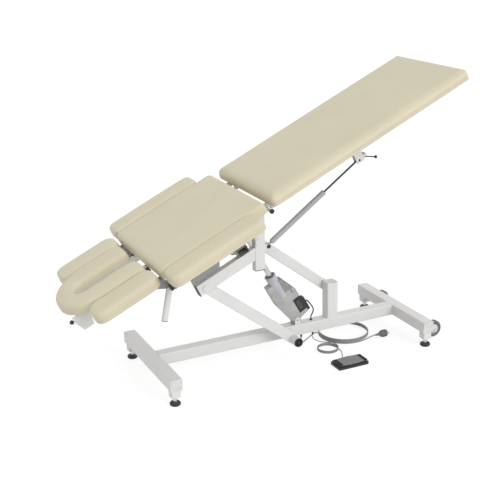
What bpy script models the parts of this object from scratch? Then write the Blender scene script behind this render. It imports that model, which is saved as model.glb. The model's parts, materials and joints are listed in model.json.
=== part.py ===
"""Electric massage table: a lifting base, a sloping padded top and a foot pedal.

X runs along the base towards the leg end, Y across the table away from the near side, Z up from the
floor. The top is built in a frame of its own, tilted by SLOPE: there a point is (along, across, deep),
with along rising towards the leg end and deep square to the cushions, counted from the hinge line.
"""
import math

import bmesh
import bpy
from mathutils import Matrix, Vector

# Clearances and facets
GAP = 0.0003
RUNNING_GAP = 0.0005
OVERRUN = 0.004
ROUND_SIDES = 20
LARGE_SIDES = 24
SMALL_SIDES = 12
SMOOTH_ANGLE = math.radians(35)

# Base
BAR_HEIGHT = 0.061
BAR_WIDTH = 0.062
BAR_WALL = 0.003
BAR_CORNER = 0.004
SPINE_WIDTH = 0.060
SPINE_HALF_LENGTH = 0.6872
CROSSBAR_HALF_LENGTH = 0.327
BASE_RISE = 0.0826
PLUG_THICKNESS = 0.003
STUB_WIDTH = 0.047
STUB_BOTTOM = 0.045
STUB_OFFSET = 0.303
FOOT_RADIUS = 0.027
FOOT_HEIGHT = 0.017
FOOT_BEVEL = 0.004
FOOT_STEM_RADIUS = 0.010
STUB_BORE = 0.006
POST_X = 0.307
POST_DEPTH = 0.0627
POST_TOP = 0.339
POST_CAP_THICKNESS = 0.004

# Transport wheels
WHEEL_AHEAD = 0.0815
WHEEL_Z = 0.065
WHEEL_OFFSET = 0.255
WHEEL_RADIUS = 0.046
WHEEL_WIDTH = 0.036
WHEEL_SHOULDER = 0.008
WHEEL_HUB_RADIUS = 0.026
WHEEL_DISH = 0.006
FORK_THICKNESS = 0.004
FORK_CLEARANCE = 0.003
FORK_PLATE_HEIGHT = 0.052
FORK_EYE_RADIUS = 0.013
AXLE_RADIUS = 0.005
AXLE_HEAD_RADIUS = 0.009
AXLE_HEAD = 0.004

# Lift linkage
ARM_LENGTH = 0.632
ARM_SLOPE = math.radians(37.9)
ARM_DEPTH = 0.055
ARM_WIDTH = 0.040
ARM_WALL = 0.003
LOWER_PIVOT_X = 0.022
POST_PIVOT_X = 0.308
POST_PIVOT_Z = 0.302
LOWER_ARM_Y = -0.095
UPPER_ARM_Y = 0.053
ARM_PIN_RADIUS = 0.010
ARM_PIN_HEAD = 0.004
ARM_PIN_HEAD_RADIUS = 0.017
HUB_RADIUS = 0.025
HUB_OUTER_Y = -0.170
HUB_CAP_THICKNESS = 0.0055
HUB_CAP_RADIUS = 0.0235
HUB_CAP_RIM = 0.004
HUB_CAP_DISH = 0.003

# Lift frame
COLUMN_AHEAD = 0.0097
COLUMN_WIDTH = 0.055
SIDE_TUBE_WIDTH = 0.040
SIDE_TUBE_Y = 0.140
COLUMN_DROP = 0.1462
COLUMN_RISE = 0.1718
DIAGONAL_DEPTH = 0.060
DIAGONAL_OVER_PIN = 0.0053
DIAGONAL_TAIL = 0.0384
END_CAP = 0.004
CROSS_TUBE_AHEAD = 0.2786
CROSS_TUBE_LENGTH = 0.060
CROSS_TUBE_DEPTH = 0.040
SEAT_PLATE_TAIL = 0.0464
SEAT_PLATE_LENGTH = 0.185
SEAT_PLATE_SKEW = 0.031
SEAT_PLATE_HEIGHT = 0.067
SEAT_PLATE_THICKNESS = 0.006
SEAT_BAR_LENGTH = 0.065
SEAT_BAR_DEPTH = 0.008
SEAT_BAR_OVERHANG = 0.015
SEAT_STUB_RADIUS = 0.010
BUFFER_RADIUS = 0.016
BUFFER_HEIGHT = 0.0391

# Hinge line of the top
HINGE_BACK = 0.005
HINGE_RISE = 0.021
HINGE_SHAFT_RADIUS = 0.008
HINGE_SHAFT_HALF = 0.300
HINGE_CAP_RADIUS = 0.012
HINGE_CAP = 0.006
LUG_RADIUS = 0.0125
LUG_CLEARANCE = 0.0025
HINGE_LUG_WIDTH = 0.010
HINGE_LUG_LAP = 0.030

# Top
SLOPE = math.radians(24.7)
CUSHION_THICKNESS = 0.060
CUSHION_HALF_WIDTH = 0.320
LEG_START = 0.015
LEG_END = 1.230
CENTRE_START = -0.610
CENTRE_END = -0.015
BOARD_THICKNESS = 0.012
BOARD_INSET = 0.008
LONG_EDGE = 0.026
LEG_LONG_EDGE = 0.045
LEG_RIGHT_EDGE = 0.022
CENTRE_END_EDGE = 0.032
PAD_EDGE = 0.022
SOFT_CROWN = 0.004
SOFT_DRAW = 0.0025
RAIL_Y = 0.200
RAIL_WIDTH = 0.025
RAIL_DEPTH = 0.050
RAIL_WALL = 0.002
LEG_RAIL_START = 0.035
LEG_RAIL_END = 1.160
CENTRE_RAIL_END = -0.035
CENTRE_RAIL_START = -0.550
CROSS_DEPTH = 0.025
CROSS_WIDTH = 0.045
LEG_CROSS_PLACES = (0.100, 0.580, 1.1375)
CENTRE_SECOND_CROSS = -0.150

# Side pads
SIDE_START = -0.605
SIDE_END = -0.095
SIDE_INNER = 0.3205
SIDE_OUTER = 0.460
SIDE_CORNER = 0.040
PAD_ROD_Y = 0.3215
PAD_ROD_DROP = 0.010
PAD_ROD_RADIUS = 0.005
PAD_ROD_SEAT = 0.0012
KNUCKLE_RADIUS = 0.0075
KNUCKLE_LENGTH = 0.050
KNUCKLE_PLACES = (-0.470, -0.260)
PAD_PLATE_THICKNESS = 0.004
PAD_PLATE_OUTER = 0.440

# Head section
HEAD_HINGE_ALONG = -0.620
HEAD_HINGE_DROP = 0.0128
HEAD_START = -0.635
HEAD_HALF_WIDTH = 0.195
HEAD_ARC_CENTRE = -0.860
SLOT_HALF_WIDTH = 0.060
SLOT_ARC_CENTRE = -0.895
HEAD_RAIL_Y = 0.085
HEAD_RAIL_WIDTH = 0.025
HEAD_RAIL_DEPTH = 0.025
HEAD_RAIL_END = -1.010
HEAD_LUG_WIDTH = 0.010
HEAD_PIN_RADIUS = 0.005
HEAD_KNOB_RADIUS = 0.014
HEAD_KNOB_LENGTH = 0.018
BRACKET_THICKNESS = 0.006
BRACKET_OVERHANG = 0.026
BRACKET_LENGTH = 0.086
BRACKET_DROP = 0.010
BRACKET_HEIGHT = 0.085
BRACKET_KNOB_RADIUS = 0.011
BRACKET_KNOB_DROP = 0.027

# Armrests
ARMREST_START = -0.965
ARMREST_END = -0.625
ARMREST_INNER = 0.200
ARMREST_OUTER = 0.345
ARMREST_DROP = 0.004
ARMREST_CORNER = 0.050
ARMREST_Y = 0.265
ARMREST_POST_ALONG = -0.5617
ARMREST_POST_LEAN = math.radians(36.3)
ARMREST_POST_LENGTH = 0.217
ARMREST_POST_RADIUS = 0.015
COLLAR_RADIUS = 0.021
COLLAR_START = 0.024
COLLAR_LENGTH = 0.030
CARRIER_START = -0.760
CARRIER_END = -0.600
CARRIER_WIDTH = 0.044
CARRIER_THICKNESS = 0.012
CARRIER_WEB = 0.012
CARRIER_WEB_END = -0.680
KNOB_RADIUS = 0.0125
KNOB_LOBE = 0.0075
KNOB_THICKNESS = 0.018
KNOB_GAP = 0.004
KNOB_STEM_RADIUS = 0.004
KNOB_STEM_GAP = 0.003
KNOB_LOBES = 4

# Leg gas spring
SPRING_Y = -0.140
SPRING_FOOT_AHEAD = 0.049
SPRING_FOOT_DROP = 0.0332
SPRING_HEAD_ALONG = 0.579
SPRING_HEAD_DROP = 0.123
SPRING_PIN_RADIUS = 0.004
SPRING_EYE_RADIUS = 0.009
SPRING_EYE_THICKNESS = 0.0108
SPRING_CYLINDER_RADIUS = 0.014
SPRING_CYLINDER_START = 0.024
SPRING_CYLINDER_END = 0.392
SPRING_NECK_RADIUS = 0.006
SPRING_ROD_RADIUS = 0.005
SPRING_ROD_START = 0.170
SPRING_ROD_STROKE = 0.130
SPRING_HEAD_PLAY = 0.0036
SPRING_HEAD_EYE_RADIUS = 0.012
SPRING_LUG_GAP = 0.0112
SPRING_LUG_THICKNESS = 0.004
SPRING_LUG_RADIUS = 0.012
SPRING_CAP_RADIUS = 0.010
SPRING_CAP = 0.004
SPRING_BRACKET_HALF = 0.018
SPRING_BRACKET_DROP = 0.014

# Release lever
LEVER_ALONG = 0.6157
LEVER_DROP = 0.125
LEVER_BLOCK_HALF = 0.010
LEVER_BLOCK_TAIL = 0.015
LEVER_BLOCK_HEIGHT = 0.014
LEVER_HUB_RADIUS = 0.009
LEVER_HUB_THICKNESS = 0.0064
LEVER_PIN_RADIUS = 0.003
LEVER_PIN_HEAD = 0.002
LEVER_ROD_RADIUS = 0.003
LEVER_REACH = 0.075
LEVER_SWEEP = 0.024
LEVER_BALL_RADIUS = 0.0085

# Actuator
ACTUATOR_FOOT_X = 0.095
ACTUATOR_FOOT_Z = 0.170
ACTUATOR_HALF = 0.022
ACTUATOR_PIN_RADIUS = 0.006
ACTUATOR_LUG_GAP = 0.0235
ACTUATOR_LUG_THICKNESS = 0.004
ACTUATOR_LUG_RADIUS = 0.015
ACTUATOR_TUBE_END = 0.305
ACTUATOR_TUBE_START = 0.165
ACTUATOR_TUBE_RADIUS = 0.029
ACTUATOR_FLANGE = 0.006
ACTUATOR_FLANGE_RADIUS = 0.031
ACTUATOR_ROD_RADIUS = 0.0145
ACTUATOR_ROD_START = 0.163
ACTUATOR_BORE_START = 0.045
ACTUATOR_EYE_PLAY = 0.0062
ACTUATOR_EYE_WALL = 0.0065
ACTUATOR_EYE_THICKNESS = 0.026
ACTUATOR_BODY_END = 0.260
ACTUATOR_MOTOR_DROP = 0.054
ACTUATOR_FOOT_INSET = 0.0048
ACTUATOR_BODY_RISE = 0.042
ACTUATOR_BACK_RISE = 0.078
ACTUATOR_BACK_END = 0.163
CONNECTOR_START = 0.004
CONNECTOR_END = 0.085
CONNECTOR_RISE = 0.018
CONNECTOR_HALF = 0.016

# Foot pedal
PEDAL_LEFT = 0.157
PEDAL_LENGTH = 0.176
PEDAL_FRONT = -0.358
PEDAL_DEPTH = 0.093
PEDAL_BASE_HEIGHT = 0.014
PEDAL_RIM = 0.010
PEDAL_ROCKER_RISE = 0.014
PEDAL_SLOPE_RISE = 0.004
PEDAL_CORNER = 0.006
PEDAL_RIDGE = 0.004

# Cords
MAINS_RADIUS = 0.00325
MAINS_COIL_X = 0.4125
MAINS_COIL_Y = 0.035
MAINS_COIL_RADIUS = 0.135
MAINS_PITCH = 0.0070
MAINS_TURNS = 3.25
PEDAL_CORD_RADIUS = 0.0025
PEDAL_COIL_X = 0.2325
PEDAL_COIL_Y = -0.1085
PEDAL_COIL_RADIUS = 0.055
PEDAL_PITCH = 0.0056
PEDAL_TURNS = 3.0
LEAD_RADIUS = 0.0035
LEAD_OUT = 0.010
LEAD_BEND = (0.204, 0, 0.205)
LEAD_DROP = 0.014
MAINS_DROP = 0.018
MAINS_FLOOR_ROUTE = ((0.138, 0.014, 0.013), (0.165, 0.040, None), (0.205, 0.069, None),
                     (0.240, 0.088, 0.008),
                     (0.264, 0.084, 0.020))
MAINS_LEAD_IN = 0.016
MAINS_LEAD_OUT = 0.012
MAINS_PLUG_ROUTE = ((0.452, 0.0048), (0.480, 0.0098), (0.505, 0.0163))
PEDAL_LEAD_IN = 0.014
PEDAL_FLOOR_ROUTE = ((0.253, -0.224, None), (0.272, -0.190, None), (0.285, -0.155, None))
PEDAL_LEAD_OUT = 0.012
PEDAL_GLAND_ROUTE = ((0.2815, -0.072, 0.0185), (0.262, -0.047, 0.0150), (0.236, -0.024, 0.0150),
                     (0.212, -0.008, 0.0250))
PEDAL_DROP = 0.016
COIL_STEPS = 24
CORD_LIFT = 0.0003
CORD_STEP = 2.5
GLAND_RADIUS = 0.0095
GLAND_LENGTH = 0.026
GLAND_FLANGE = 0.006
GLAND_SHOULDER = 0.0075
GLAND_WALL = 0.0012
MAINS_GLAND_X = 0.130
PEDAL_GLAND_X = 0.200
PLUG_START = 0.535
PLUG_NECK = 0.024
PLUG_BODY = 0.046
PLUG_RADIUS = 0.0195
PLUG_CENTRE_Z = 0.0198
PIN_LENGTH = 0.019
PIN_RADIUS = 0.0024
PIN_HALF_SPAN = 0.0095
GROMMET_X = 0.190
GROMMET_RADIUS = 0.008
GROMMET_HEIGHT = 0.006

# Places that follow from the sizes above
BASE_TOP = BASE_RISE + BAR_HEIGHT
CROSSBAR_X = SPINE_HALF_LENGTH + GAP + BAR_WIDTH / 2
CROSSBAR_FACE = CROSSBAR_X + BAR_WIDTH / 2
WHEEL_X = CROSSBAR_X + WHEEL_AHEAD
LOWER_PIVOT_Z = BASE_RISE + BAR_HEIGHT / 2
ARM_VECTOR = Vector((-math.cos(ARM_SLOPE), 0, math.sin(ARM_SLOPE))) * ARM_LENGTH
LOWER_PIVOT = Vector((LOWER_PIVOT_X, 0, LOWER_PIVOT_Z))
POST_PIVOT = Vector((POST_PIVOT_X, 0, POST_PIVOT_Z))
FRAME_LOWER_PIVOT = LOWER_PIVOT + ARM_VECTOR
FRAME_UPPER_PIVOT = POST_PIVOT + ARM_VECTOR
ACTUATOR_FOOT = Vector((ACTUATOR_FOOT_X, 0, ACTUATOR_FOOT_Z))
COLUMN_X = FRAME_UPPER_PIVOT.x + COLUMN_AHEAD
COLUMN_BOTTOM = FRAME_UPPER_PIVOT.z - COLUMN_DROP
COLUMN_TOP = FRAME_UPPER_PIVOT.z + COLUMN_RISE
HINGE = (0, 0, 0)
HINGE_POINT = Vector((COLUMN_X - HINGE_BACK, 0, COLUMN_TOP + HINGE_RISE))
TOP_TURN = Matrix.Rotation(-SLOPE, 4, "Y")
TOP_PLACE = Matrix.Translation(HINGE_POINT) @ TOP_TURN
PIN_ON_SLOPE = TOP_PLACE.inverted() @ FRAME_LOWER_PIVOT
DIAGONAL_AXIS = PIN_ON_SLOPE.z + DIAGONAL_OVER_PIN
DIAGONAL_END = PIN_ON_SLOPE.x - DIAGONAL_TAIL
CROSS_TUBE_END = PIN_ON_SLOPE.x + CROSS_TUBE_AHEAD
SEAT_PLATE_END = PIN_ON_SLOPE.x - SEAT_PLATE_TAIL
SEAT_PLATE_START = SEAT_PLATE_END + SEAT_PLATE_LENGTH
SPRING_FOOT = Vector((COLUMN_X + SPRING_FOOT_AHEAD, SPRING_Y, FRAME_UPPER_PIVOT.z - SPRING_FOOT_DROP))
CUSHION_BOTTOM = LUG_RADIUS + LUG_CLEARANCE
PAD_ROD_DEEP = CUSHION_BOTTOM - PAD_ROD_DROP
HEAD_HINGE_DEEP = CUSHION_BOTTOM - HEAD_HINGE_DROP
BRACKET_START = HEAD_RAIL_END - BRACKET_OVERHANG
BRACKET_END = BRACKET_START + BRACKET_LENGTH
BRACKET_TOP = CUSHION_BOTTOM - BRACKET_DROP
BRACKET_BOTTOM = BRACKET_TOP - BRACKET_HEIGHT
BRACKET_KNOB_DEEP = CUSHION_BOTTOM - BRACKET_KNOB_DROP
SPRING_HEAD_DEEP = CUSHION_BOTTOM - SPRING_HEAD_DROP
LEVER_DEEP = CUSHION_BOTTOM - LEVER_DROP
CUSHION_TOP = CUSHION_BOTTOM + CUSHION_THICKNESS
RAIL_TOP = CUSHION_BOTTOM - GAP
RAIL_BOTTOM = RAIL_TOP - RAIL_DEPTH
DIAGONAL_TOP = DIAGONAL_AXIS + DIAGONAL_DEPTH / 2
SEAT_PLATE_TOP = DIAGONAL_TOP + GAP + SEAT_PLATE_HEIGHT
SEAT_BAR_TOP = SEAT_PLATE_TOP + SEAT_BAR_DEPTH
SEAT_BAR_HALF = RAIL_Y + SEAT_BAR_OVERHANG
SEAT_BAR_START = SEAT_PLATE_END - OVERRUN
SEAT_STUB_ALONG = SEAT_BAR_START + SEAT_BAR_LENGTH / 2
ARMREST_BOTTOM = CUSHION_BOTTOM - ARMREST_DROP
POST_DOWN = Vector((-math.sin(ARMREST_POST_LEAN), 0, -math.cos(ARMREST_POST_LEAN)))
NEAR = -1
FAR = 1


def on_slope(along, across, deep):
    """World place of a point given in the sloping top's frame."""
    return TOP_PLACE @ Vector((along, across, deep))


def new_collection(name):
    group = bpy.data.collections.new(name)
    bpy.context.scene.collection.children.link(group)
    return group


def clear_scene():
    for item in list(bpy.data.objects):
        bpy.data.objects.remove(item, do_unlink=True)


def finish(name, colour, roughness, metallic=0.0):
    """One Principled material, made once for each name."""
    found = bpy.data.materials.get(name)
    if found:
        return found
    made = bpy.data.materials.new(name)
    made.use_nodes = True
    shader = made.node_tree.nodes["Principled BSDF"]
    shader.inputs["Base Color"].default_value = (*colour, 1)
    shader.inputs["Roughness"].default_value = roughness
    shader.inputs["Metallic"].default_value = metallic
    return made


clear_scene()
TABLE = new_collection("massage_table")
TOOLS = new_collection("cutters")
WHITE = finish("white_coat", (0.80, 0.80, 0.78), 0.42)
GREY = finish("grey_coat", (0.33, 0.33, 0.33), 0.45)
LILAC = finish("lilac_grey_plastic", (0.42, 0.41, 0.45), 0.45)
BLACK = finish("black_plastic", (0.02, 0.02, 0.02), 0.5)
RUBBER = finish("grey_rubber", (0.16, 0.16, 0.16), 0.75)
STEEL = finish("bright_steel", (0.62, 0.62, 0.64), 0.25, 1.0)
VINYL = finish("cream_vinyl", (0.66, 0.61, 0.47), 0.5)
PLYWOOD = finish("plywood", (0.45, 0.31, 0.17), 0.65)
CORD = finish("grey_cord", (0.24, 0.24, 0.24), 0.55)


def empty(name, parent, place=(0, 0, 0), turn=0.0):
    """A frame: parts under it are placed in its coordinates."""
    made = bpy.data.objects.new(name, None)
    TABLE.objects.link(made)
    made.parent = parent
    made.location = place
    made.rotation_euler = (0, turn, 0)
    return made


def frame_between(name, start, end):
    """A frame at start whose X axis points at end; both lie in one XZ plane."""
    reach = end - start
    return empty(name, ROOT, start, -math.atan2(reach.z, reach.x))


def shell(mesh_maker):
    """One closed shell as its own bmesh."""
    made = bmesh.new()
    mesh_maker(made)
    bmesh.ops.recalc_face_normals(made, faces=made.faces)
    return made


def merged(shells):
    """One mesh that holds all the shells."""
    whole = bmesh.new()
    for one in shells:
        mesh = bpy.data.meshes.new("shell")
        one.to_mesh(mesh)
        whole.from_mesh(mesh)
        bpy.data.meshes.remove(mesh)
    mesh = bpy.data.meshes.new("mesh")
    whole.to_mesh(mesh)
    whole.free()
    return mesh


class Solid:
    """Closed shells in the coordinates of one frame, joined or cut later."""

    def __init__(self):
        self.shells = []

    def box(self, low, high, corner=0.0, along=0):
        """A box, its four long edges along one axis rounded by corner."""
        low = Vector(low)
        high = Vector(high)

        def make(made):
            place = Matrix.Translation((low + high) / 2) @ Matrix.Diagonal((*(high - low), 1))
            bmesh.ops.create_cube(made, size=1, matrix=place)
            if corner:
                def runs_along(edge):
                    reach = edge.verts[1].co - edge.verts[0].co
                    return abs(reach[along]) > reach.length * math.cos(SMOOTH_ANGLE)
                edges = [edge for edge in made.edges if runs_along(edge)]
                bmesh.ops.bevel(made, geom=edges, offset=corner, segments=2, profile=0.5, affect="EDGES")
        self.shells.append(shell(make))
        return self

    def rod(self, start, end, radius, tip=None, sides=ROUND_SIDES):
        """A round rod or cone between two points."""
        start = Vector(start)
        reach = Vector(end) - start
        turn = reach.to_track_quat("Z", "Y").to_matrix().to_4x4()
        place = Matrix.Translation(start + reach / 2) @ turn

        def make(made):
            bmesh.ops.create_cone(made, cap_ends=True, segments=sides, radius1=radius,
                                  radius2=radius if tip is None else tip, depth=reach.length, matrix=place)
        self.shells.append(shell(make))
        return self

    def turned(self, start, direction, profile, sides=ROUND_SIDES):
        """A profile of (distance along, radius) spun about a line."""
        place = Matrix.Translation(start) @ Vector(direction).to_track_quat("Z", "Y").to_matrix().to_4x4()

        def make(made):
            rim = [made.verts.new((radius, 0, along)) for along, radius in profile]
            edges = [made.edges.new(pair) for pair in zip(rim, rim[1:])]
            bmesh.ops.spin(made, geom=rim + edges, cent=(0, 0, 0), axis=(0, 0, 1), dvec=(0, 0, 0),
                           angle=2 * math.pi, steps=sides, use_merge=True)
            bmesh.ops.remove_doubles(made, verts=made.verts, dist=GAP / 10)
            bmesh.ops.transform(made, matrix=place, verts=made.verts)
        self.shells.append(shell(make))
        return self

    def plate(self, outline, low_y, high_y):
        """A flat outline of (x, z) points, thick along Y."""
        curve = bpy.data.curves.new("outline", "CURVE")
        curve.dimensions = "2D"
        curve.fill_mode = "BOTH"
        curve.extrude = (high_y - low_y) / 2
        spline = curve.splines.new("POLY")
        spline.points.add(len(outline) - 1)
        for point, (x, z) in zip(spline.points, outline):
            point.co = (x, z, 0, 1)
        spline.use_cyclic_u = True
        guide = bpy.data.objects.new("outline", curve)
        TOOLS.objects.link(guide)
        bpy.context.view_layer.update()
        flat = bpy.data.meshes.new_from_object(guide.evaluated_get(bpy.context.evaluated_depsgraph_get()))
        bpy.data.objects.remove(guide)
        place = Matrix.Translation((0, (low_y + high_y) / 2, 0)) @ Matrix.Rotation(math.pi / 2, 4, "X")

        def make(made):
            made.from_mesh(flat)
            bmesh.ops.remove_doubles(made, verts=made.verts, dist=GAP / 10)
            bmesh.ops.transform(made, matrix=place, verts=made.verts)
        self.shells.append(shell(make))
        return self

    def moved(self, matrix):
        """The same shells, carried into another frame."""
        for one in self.shells:
            bmesh.ops.transform(one, matrix=matrix, verts=one.verts)
        return self

    def cross_tube(self, low, high, along):
        """The bore of a thin tube, running past its ends along one axis."""
        low = [edge + RAIL_WALL for edge in low]
        high = [edge - RAIL_WALL for edge in high]
        low[along] -= 2 * RAIL_WALL + OVERRUN
        high[along] += 2 * RAIL_WALL + OVERRUN
        return self.box(low, high)


def boolean(target, operation, mesh, parent):
    tool = bpy.data.objects.new(target.name + "_tool", mesh)
    TOOLS.objects.link(tool)
    tool.parent = parent
    tool.hide_render = True
    tool.display_type = "WIRE"
    step = target.modifiers.new(operation.lower(), "BOOLEAN")
    step.operation = operation
    step.solver = "EXACT"
    step.use_self = True
    step.object = tool


def piece(name, parent, look, solid, origin=(0, 0, 0), cut=None, weld=True):
    """A named part: its shells welded into one solid, or left apart, then cut."""
    joined = weld and len(solid.shells) > 1
    mesh = merged(solid.shells[:1] if joined else solid.shells)
    mesh.transform(Matrix.Translation(-Vector(origin)))
    mesh.materials.append(look)
    part = bpy.data.objects.new(name, mesh)
    TABLE.objects.link(part)
    part.parent = parent
    part.location = origin
    if joined:
        boolean(part, "UNION", merged(solid.shells[1:]), parent)
    if cut:
        boolean(part, "DIFFERENCE", merged(cut.shells), parent)
    mesh.shade_smooth()
    mesh.set_sharp_from_angle(angle=SMOOTH_ANGLE)
    return part


def sides(make):
    """Run a maker for the near side and the far side."""
    make("near", NEAR)
    make("far", FAR)


def span(centre, half):
    return centre - half, centre + half


def arc_points(centre, radius, start, end, steps):
    """Points on an arc in an outline's plane; angles in degrees."""
    angles = [math.radians(start + (end - start) * step / steps) for step in range(steps + 1)]
    return [(centre[0] + radius * math.cos(angle), centre[1] + radius * math.sin(angle)) for angle in angles]


ROOT = empty("table_origin", None)
TOP = empty("top_frame", ROOT, HINGE_POINT, -SLOPE)


# Base

def base_tubes():
    """Spine with its lead grommet, crossbars with leg stubs and wheel forks, and the post with its axle."""
    half = SPINE_WIDTH / 2
    bore = half - BAR_WALL
    reach = SPINE_HALF_LENGTH + OVERRUN
    spine = Solid().box((-SPINE_HALF_LENGTH, -half, BASE_RISE), (SPINE_HALF_LENGTH, half, BASE_TOP),
                        BAR_CORNER)
    profile = ((0, 0), (0, GROMMET_RADIUS), (GROMMET_HEIGHT / 2 + BAR_WALL / 2, GROMMET_RADIUS),
               (GROMMET_HEIGHT + BAR_WALL / 2, LEAD_RADIUS + GLAND_WALL), (GROMMET_HEIGHT + BAR_WALL / 2, 0))
    spine.turned((GROMMET_X, 0, BASE_TOP - BAR_WALL / 2), (0, 0, 1), profile, SMALL_SIDES)
    cut = Solid().box((-reach, -bore, BASE_RISE + BAR_WALL), (reach, bore, BASE_TOP - BAR_WALL))
    cut.rod((LOWER_PIVOT_X, -SPINE_WIDTH, LOWER_PIVOT_Z), (LOWER_PIVOT_X, SPINE_WIDTH, LOWER_PIVOT_Z),
            ARM_PIN_RADIUS + GAP)
    piece("spine_tube", ROOT, WHITE, spine, cut=cut)
    crossbar("crossbar_head_end", -CROSSBAR_X, Solid())
    crossbar("crossbar_leg_end", CROSSBAR_X, wheel_forks())
    low, high = span(POST_X, POST_DEPTH / 2)
    post = Solid().box((low, -half, BASE_TOP + GAP), (high, half, POST_TOP + POST_CAP_THICKNESS),
                       BAR_CORNER, along=2)
    cut = Solid().box((low + BAR_WALL, -bore, BASE_TOP - OVERRUN), (high - BAR_WALL, bore, POST_TOP))
    start = UPPER_ARM_Y + ARM_WIDTH / 2 + GAP + ARM_PIN_HEAD
    post.turned((POST_PIVOT_X, start, POST_PIVOT_Z), (0, -1, 0),
                ((0, 0), (0, ARM_PIN_HEAD_RADIUS), (ARM_PIN_HEAD, ARM_PIN_HEAD_RADIUS),
                 (ARM_PIN_HEAD, ARM_PIN_RADIUS),
                 (start - bore - GAP, ARM_PIN_RADIUS), (start - bore - GAP, 0)))
    piece("post_tube", ROOT, WHITE, post, cut=cut)


def crossbar(name, x, extras):
    """A hollow crossbar with plugged ends and two bored stubs; extras are welded on."""
    low, high = span(x, BAR_WIDTH / 2)
    end = CROSSBAR_HALF_LENGTH
    shut = end + PLUG_THICKNESS
    bar = Solid().box((low, -shut, BASE_RISE), (high, shut, BASE_TOP), BAR_CORNER, along=1)
    cut = Solid().box((low + BAR_WALL, -end, BASE_RISE + BAR_WALL),
                      (high - BAR_WALL, end, BASE_TOP - BAR_WALL))
    for side in (NEAR, FAR):
        left, right = span(x, STUB_WIDTH / 2)
        front, back = span(side * STUB_OFFSET, STUB_WIDTH / 2)
        bar.box((left, front, STUB_BOTTOM), (right, back, BASE_RISE + BAR_WALL / 2), BAR_CORNER, along=2)
        cut.rod((x, side * STUB_OFFSET, STUB_BOTTOM - OVERRUN),
                (x, side * STUB_OFFSET, BASE_TOP - 2 * BAR_WALL),
                STUB_BORE, sides=SMALL_SIDES)
    bar.shells += extras.shells
    piece(name, ROOT, WHITE, bar, origin=(x, 0, BASE_RISE), cut=cut)


def wheel_forks():
    """Plates, cheeks and headed axles of the two transport wheels, welded to the crossbar's face."""
    forks = Solid()
    inner = WHEEL_WIDTH / 2 + FORK_CLEARANCE
    outer = inner + FORK_THICKNESS
    top = BASE_TOP - FORK_THICKNESS
    start = CROSSBAR_FACE - BAR_WALL / 2
    for side in (NEAR, FAR):
        y = side * WHEEL_OFFSET
        forks.box((start, y - outer + GAP, BASE_RISE + BAR_CORNER),
                  (CROSSBAR_FACE + FORK_THICKNESS, y + outer - GAP, top - GAP))
        for cheek in (-1, 1):
            low, high = sorted((y + cheek * inner, y + cheek * outer))
            outline = [(start, top), (start, BASE_RISE + BAR_CORNER)]
            outline += arc_points((WHEEL_X, WHEEL_Z), FORK_EYE_RADIUS, -120, 60, 8)
            forks.plate(outline, low, high)
        headed_pin(forks, (WHEEL_X, y, WHEEL_Z), outer - GAP, AXLE_RADIUS, AXLE_HEAD, AXLE_HEAD_RADIUS)
    return forks


def headed_pin(pins, centre, half, radius, head, head_radius, facets=SMALL_SIDES):
    """A pin along Y with a head at each end; half is half its length between the heads."""
    end = half + head
    profile = ((0, 0), (0, head_radius), (head, head_radius), (head, radius), (2 * end - head, radius),
               (2 * end - head, head_radius), (2 * end, head_radius), (2 * end, 0))
    pins.turned((centre[0], centre[1] - end, centre[2]), (0, 1, 0), profile, facets)


def levelling_foot(name, x, y):
    """A black disc on a short stem under a stub."""
    profile = ((0, 0), (0, FOOT_RADIUS - FOOT_BEVEL), (FOOT_BEVEL, FOOT_RADIUS),
               (FOOT_HEIGHT - FOOT_BEVEL, FOOT_RADIUS), (FOOT_HEIGHT, FOOT_RADIUS - FOOT_BEVEL),
               (FOOT_HEIGHT, FOOT_STEM_RADIUS), (STUB_BOTTOM - GAP, FOOT_STEM_RADIUS), (STUB_BOTTOM - GAP,
                                                                                        0))
    piece(name, ROOT, BLACK, Solid().turned((x, y, 0), (0, 0, 1), profile), origin=(x, y, 0))


def levelling_feet():
    for end, x in (("head", -CROSSBAR_X), ("leg", CROSSBAR_X)):
        for side_name, side in (("near", NEAR), ("far", FAR)):
            levelling_foot(f"levelling_foot_{end}_{side_name}", x, side * STUB_OFFSET)


def wheel(side_name, side):
    """A dished transport wheel that turns on its fork's axle."""
    y = side * WHEEL_OFFSET
    half = WHEEL_WIDTH / 2
    bore = AXLE_RADIUS + GAP
    profile = ((0, bore), (0, WHEEL_HUB_RADIUS / 2), (WHEEL_DISH, WHEEL_HUB_RADIUS),
               (0, WHEEL_RADIUS - WHEEL_SHOULDER), (WHEEL_SHOULDER, WHEEL_RADIUS),
               (WHEEL_WIDTH - WHEEL_SHOULDER, WHEEL_RADIUS), (WHEEL_WIDTH, WHEEL_RADIUS - WHEEL_SHOULDER),
               (WHEEL_WIDTH - WHEEL_DISH, WHEEL_HUB_RADIUS), (WHEEL_WIDTH, WHEEL_HUB_RADIUS / 2),
               (WHEEL_WIDTH, bore), (0, bore))
    body = Solid().turned((WHEEL_X, y - half, WHEEL_Z), (0, 1, 0), profile)
    piece("wheel_" + side_name, ROOT, RUBBER, body, origin=(WHEEL_X, y, WHEEL_Z))


def lower_arm_axle():
    """The axle that runs through the spine, headed on the far side."""
    start = SPINE_WIDTH / 2 + GAP + ARM_PIN_HEAD
    reach = start - HUB_OUTER_Y
    axle = Solid().turned((LOWER_PIVOT_X, start, LOWER_PIVOT_Z), (0, -1, 0),
                          ((0, 0), (0, ARM_PIN_HEAD_RADIUS), (ARM_PIN_HEAD, ARM_PIN_HEAD_RADIUS),
                           (ARM_PIN_HEAD, ARM_PIN_RADIUS), (reach, ARM_PIN_RADIUS), (reach, 0)))
    piece("lower_arm_axle", ROOT, STEEL, axle)


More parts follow.
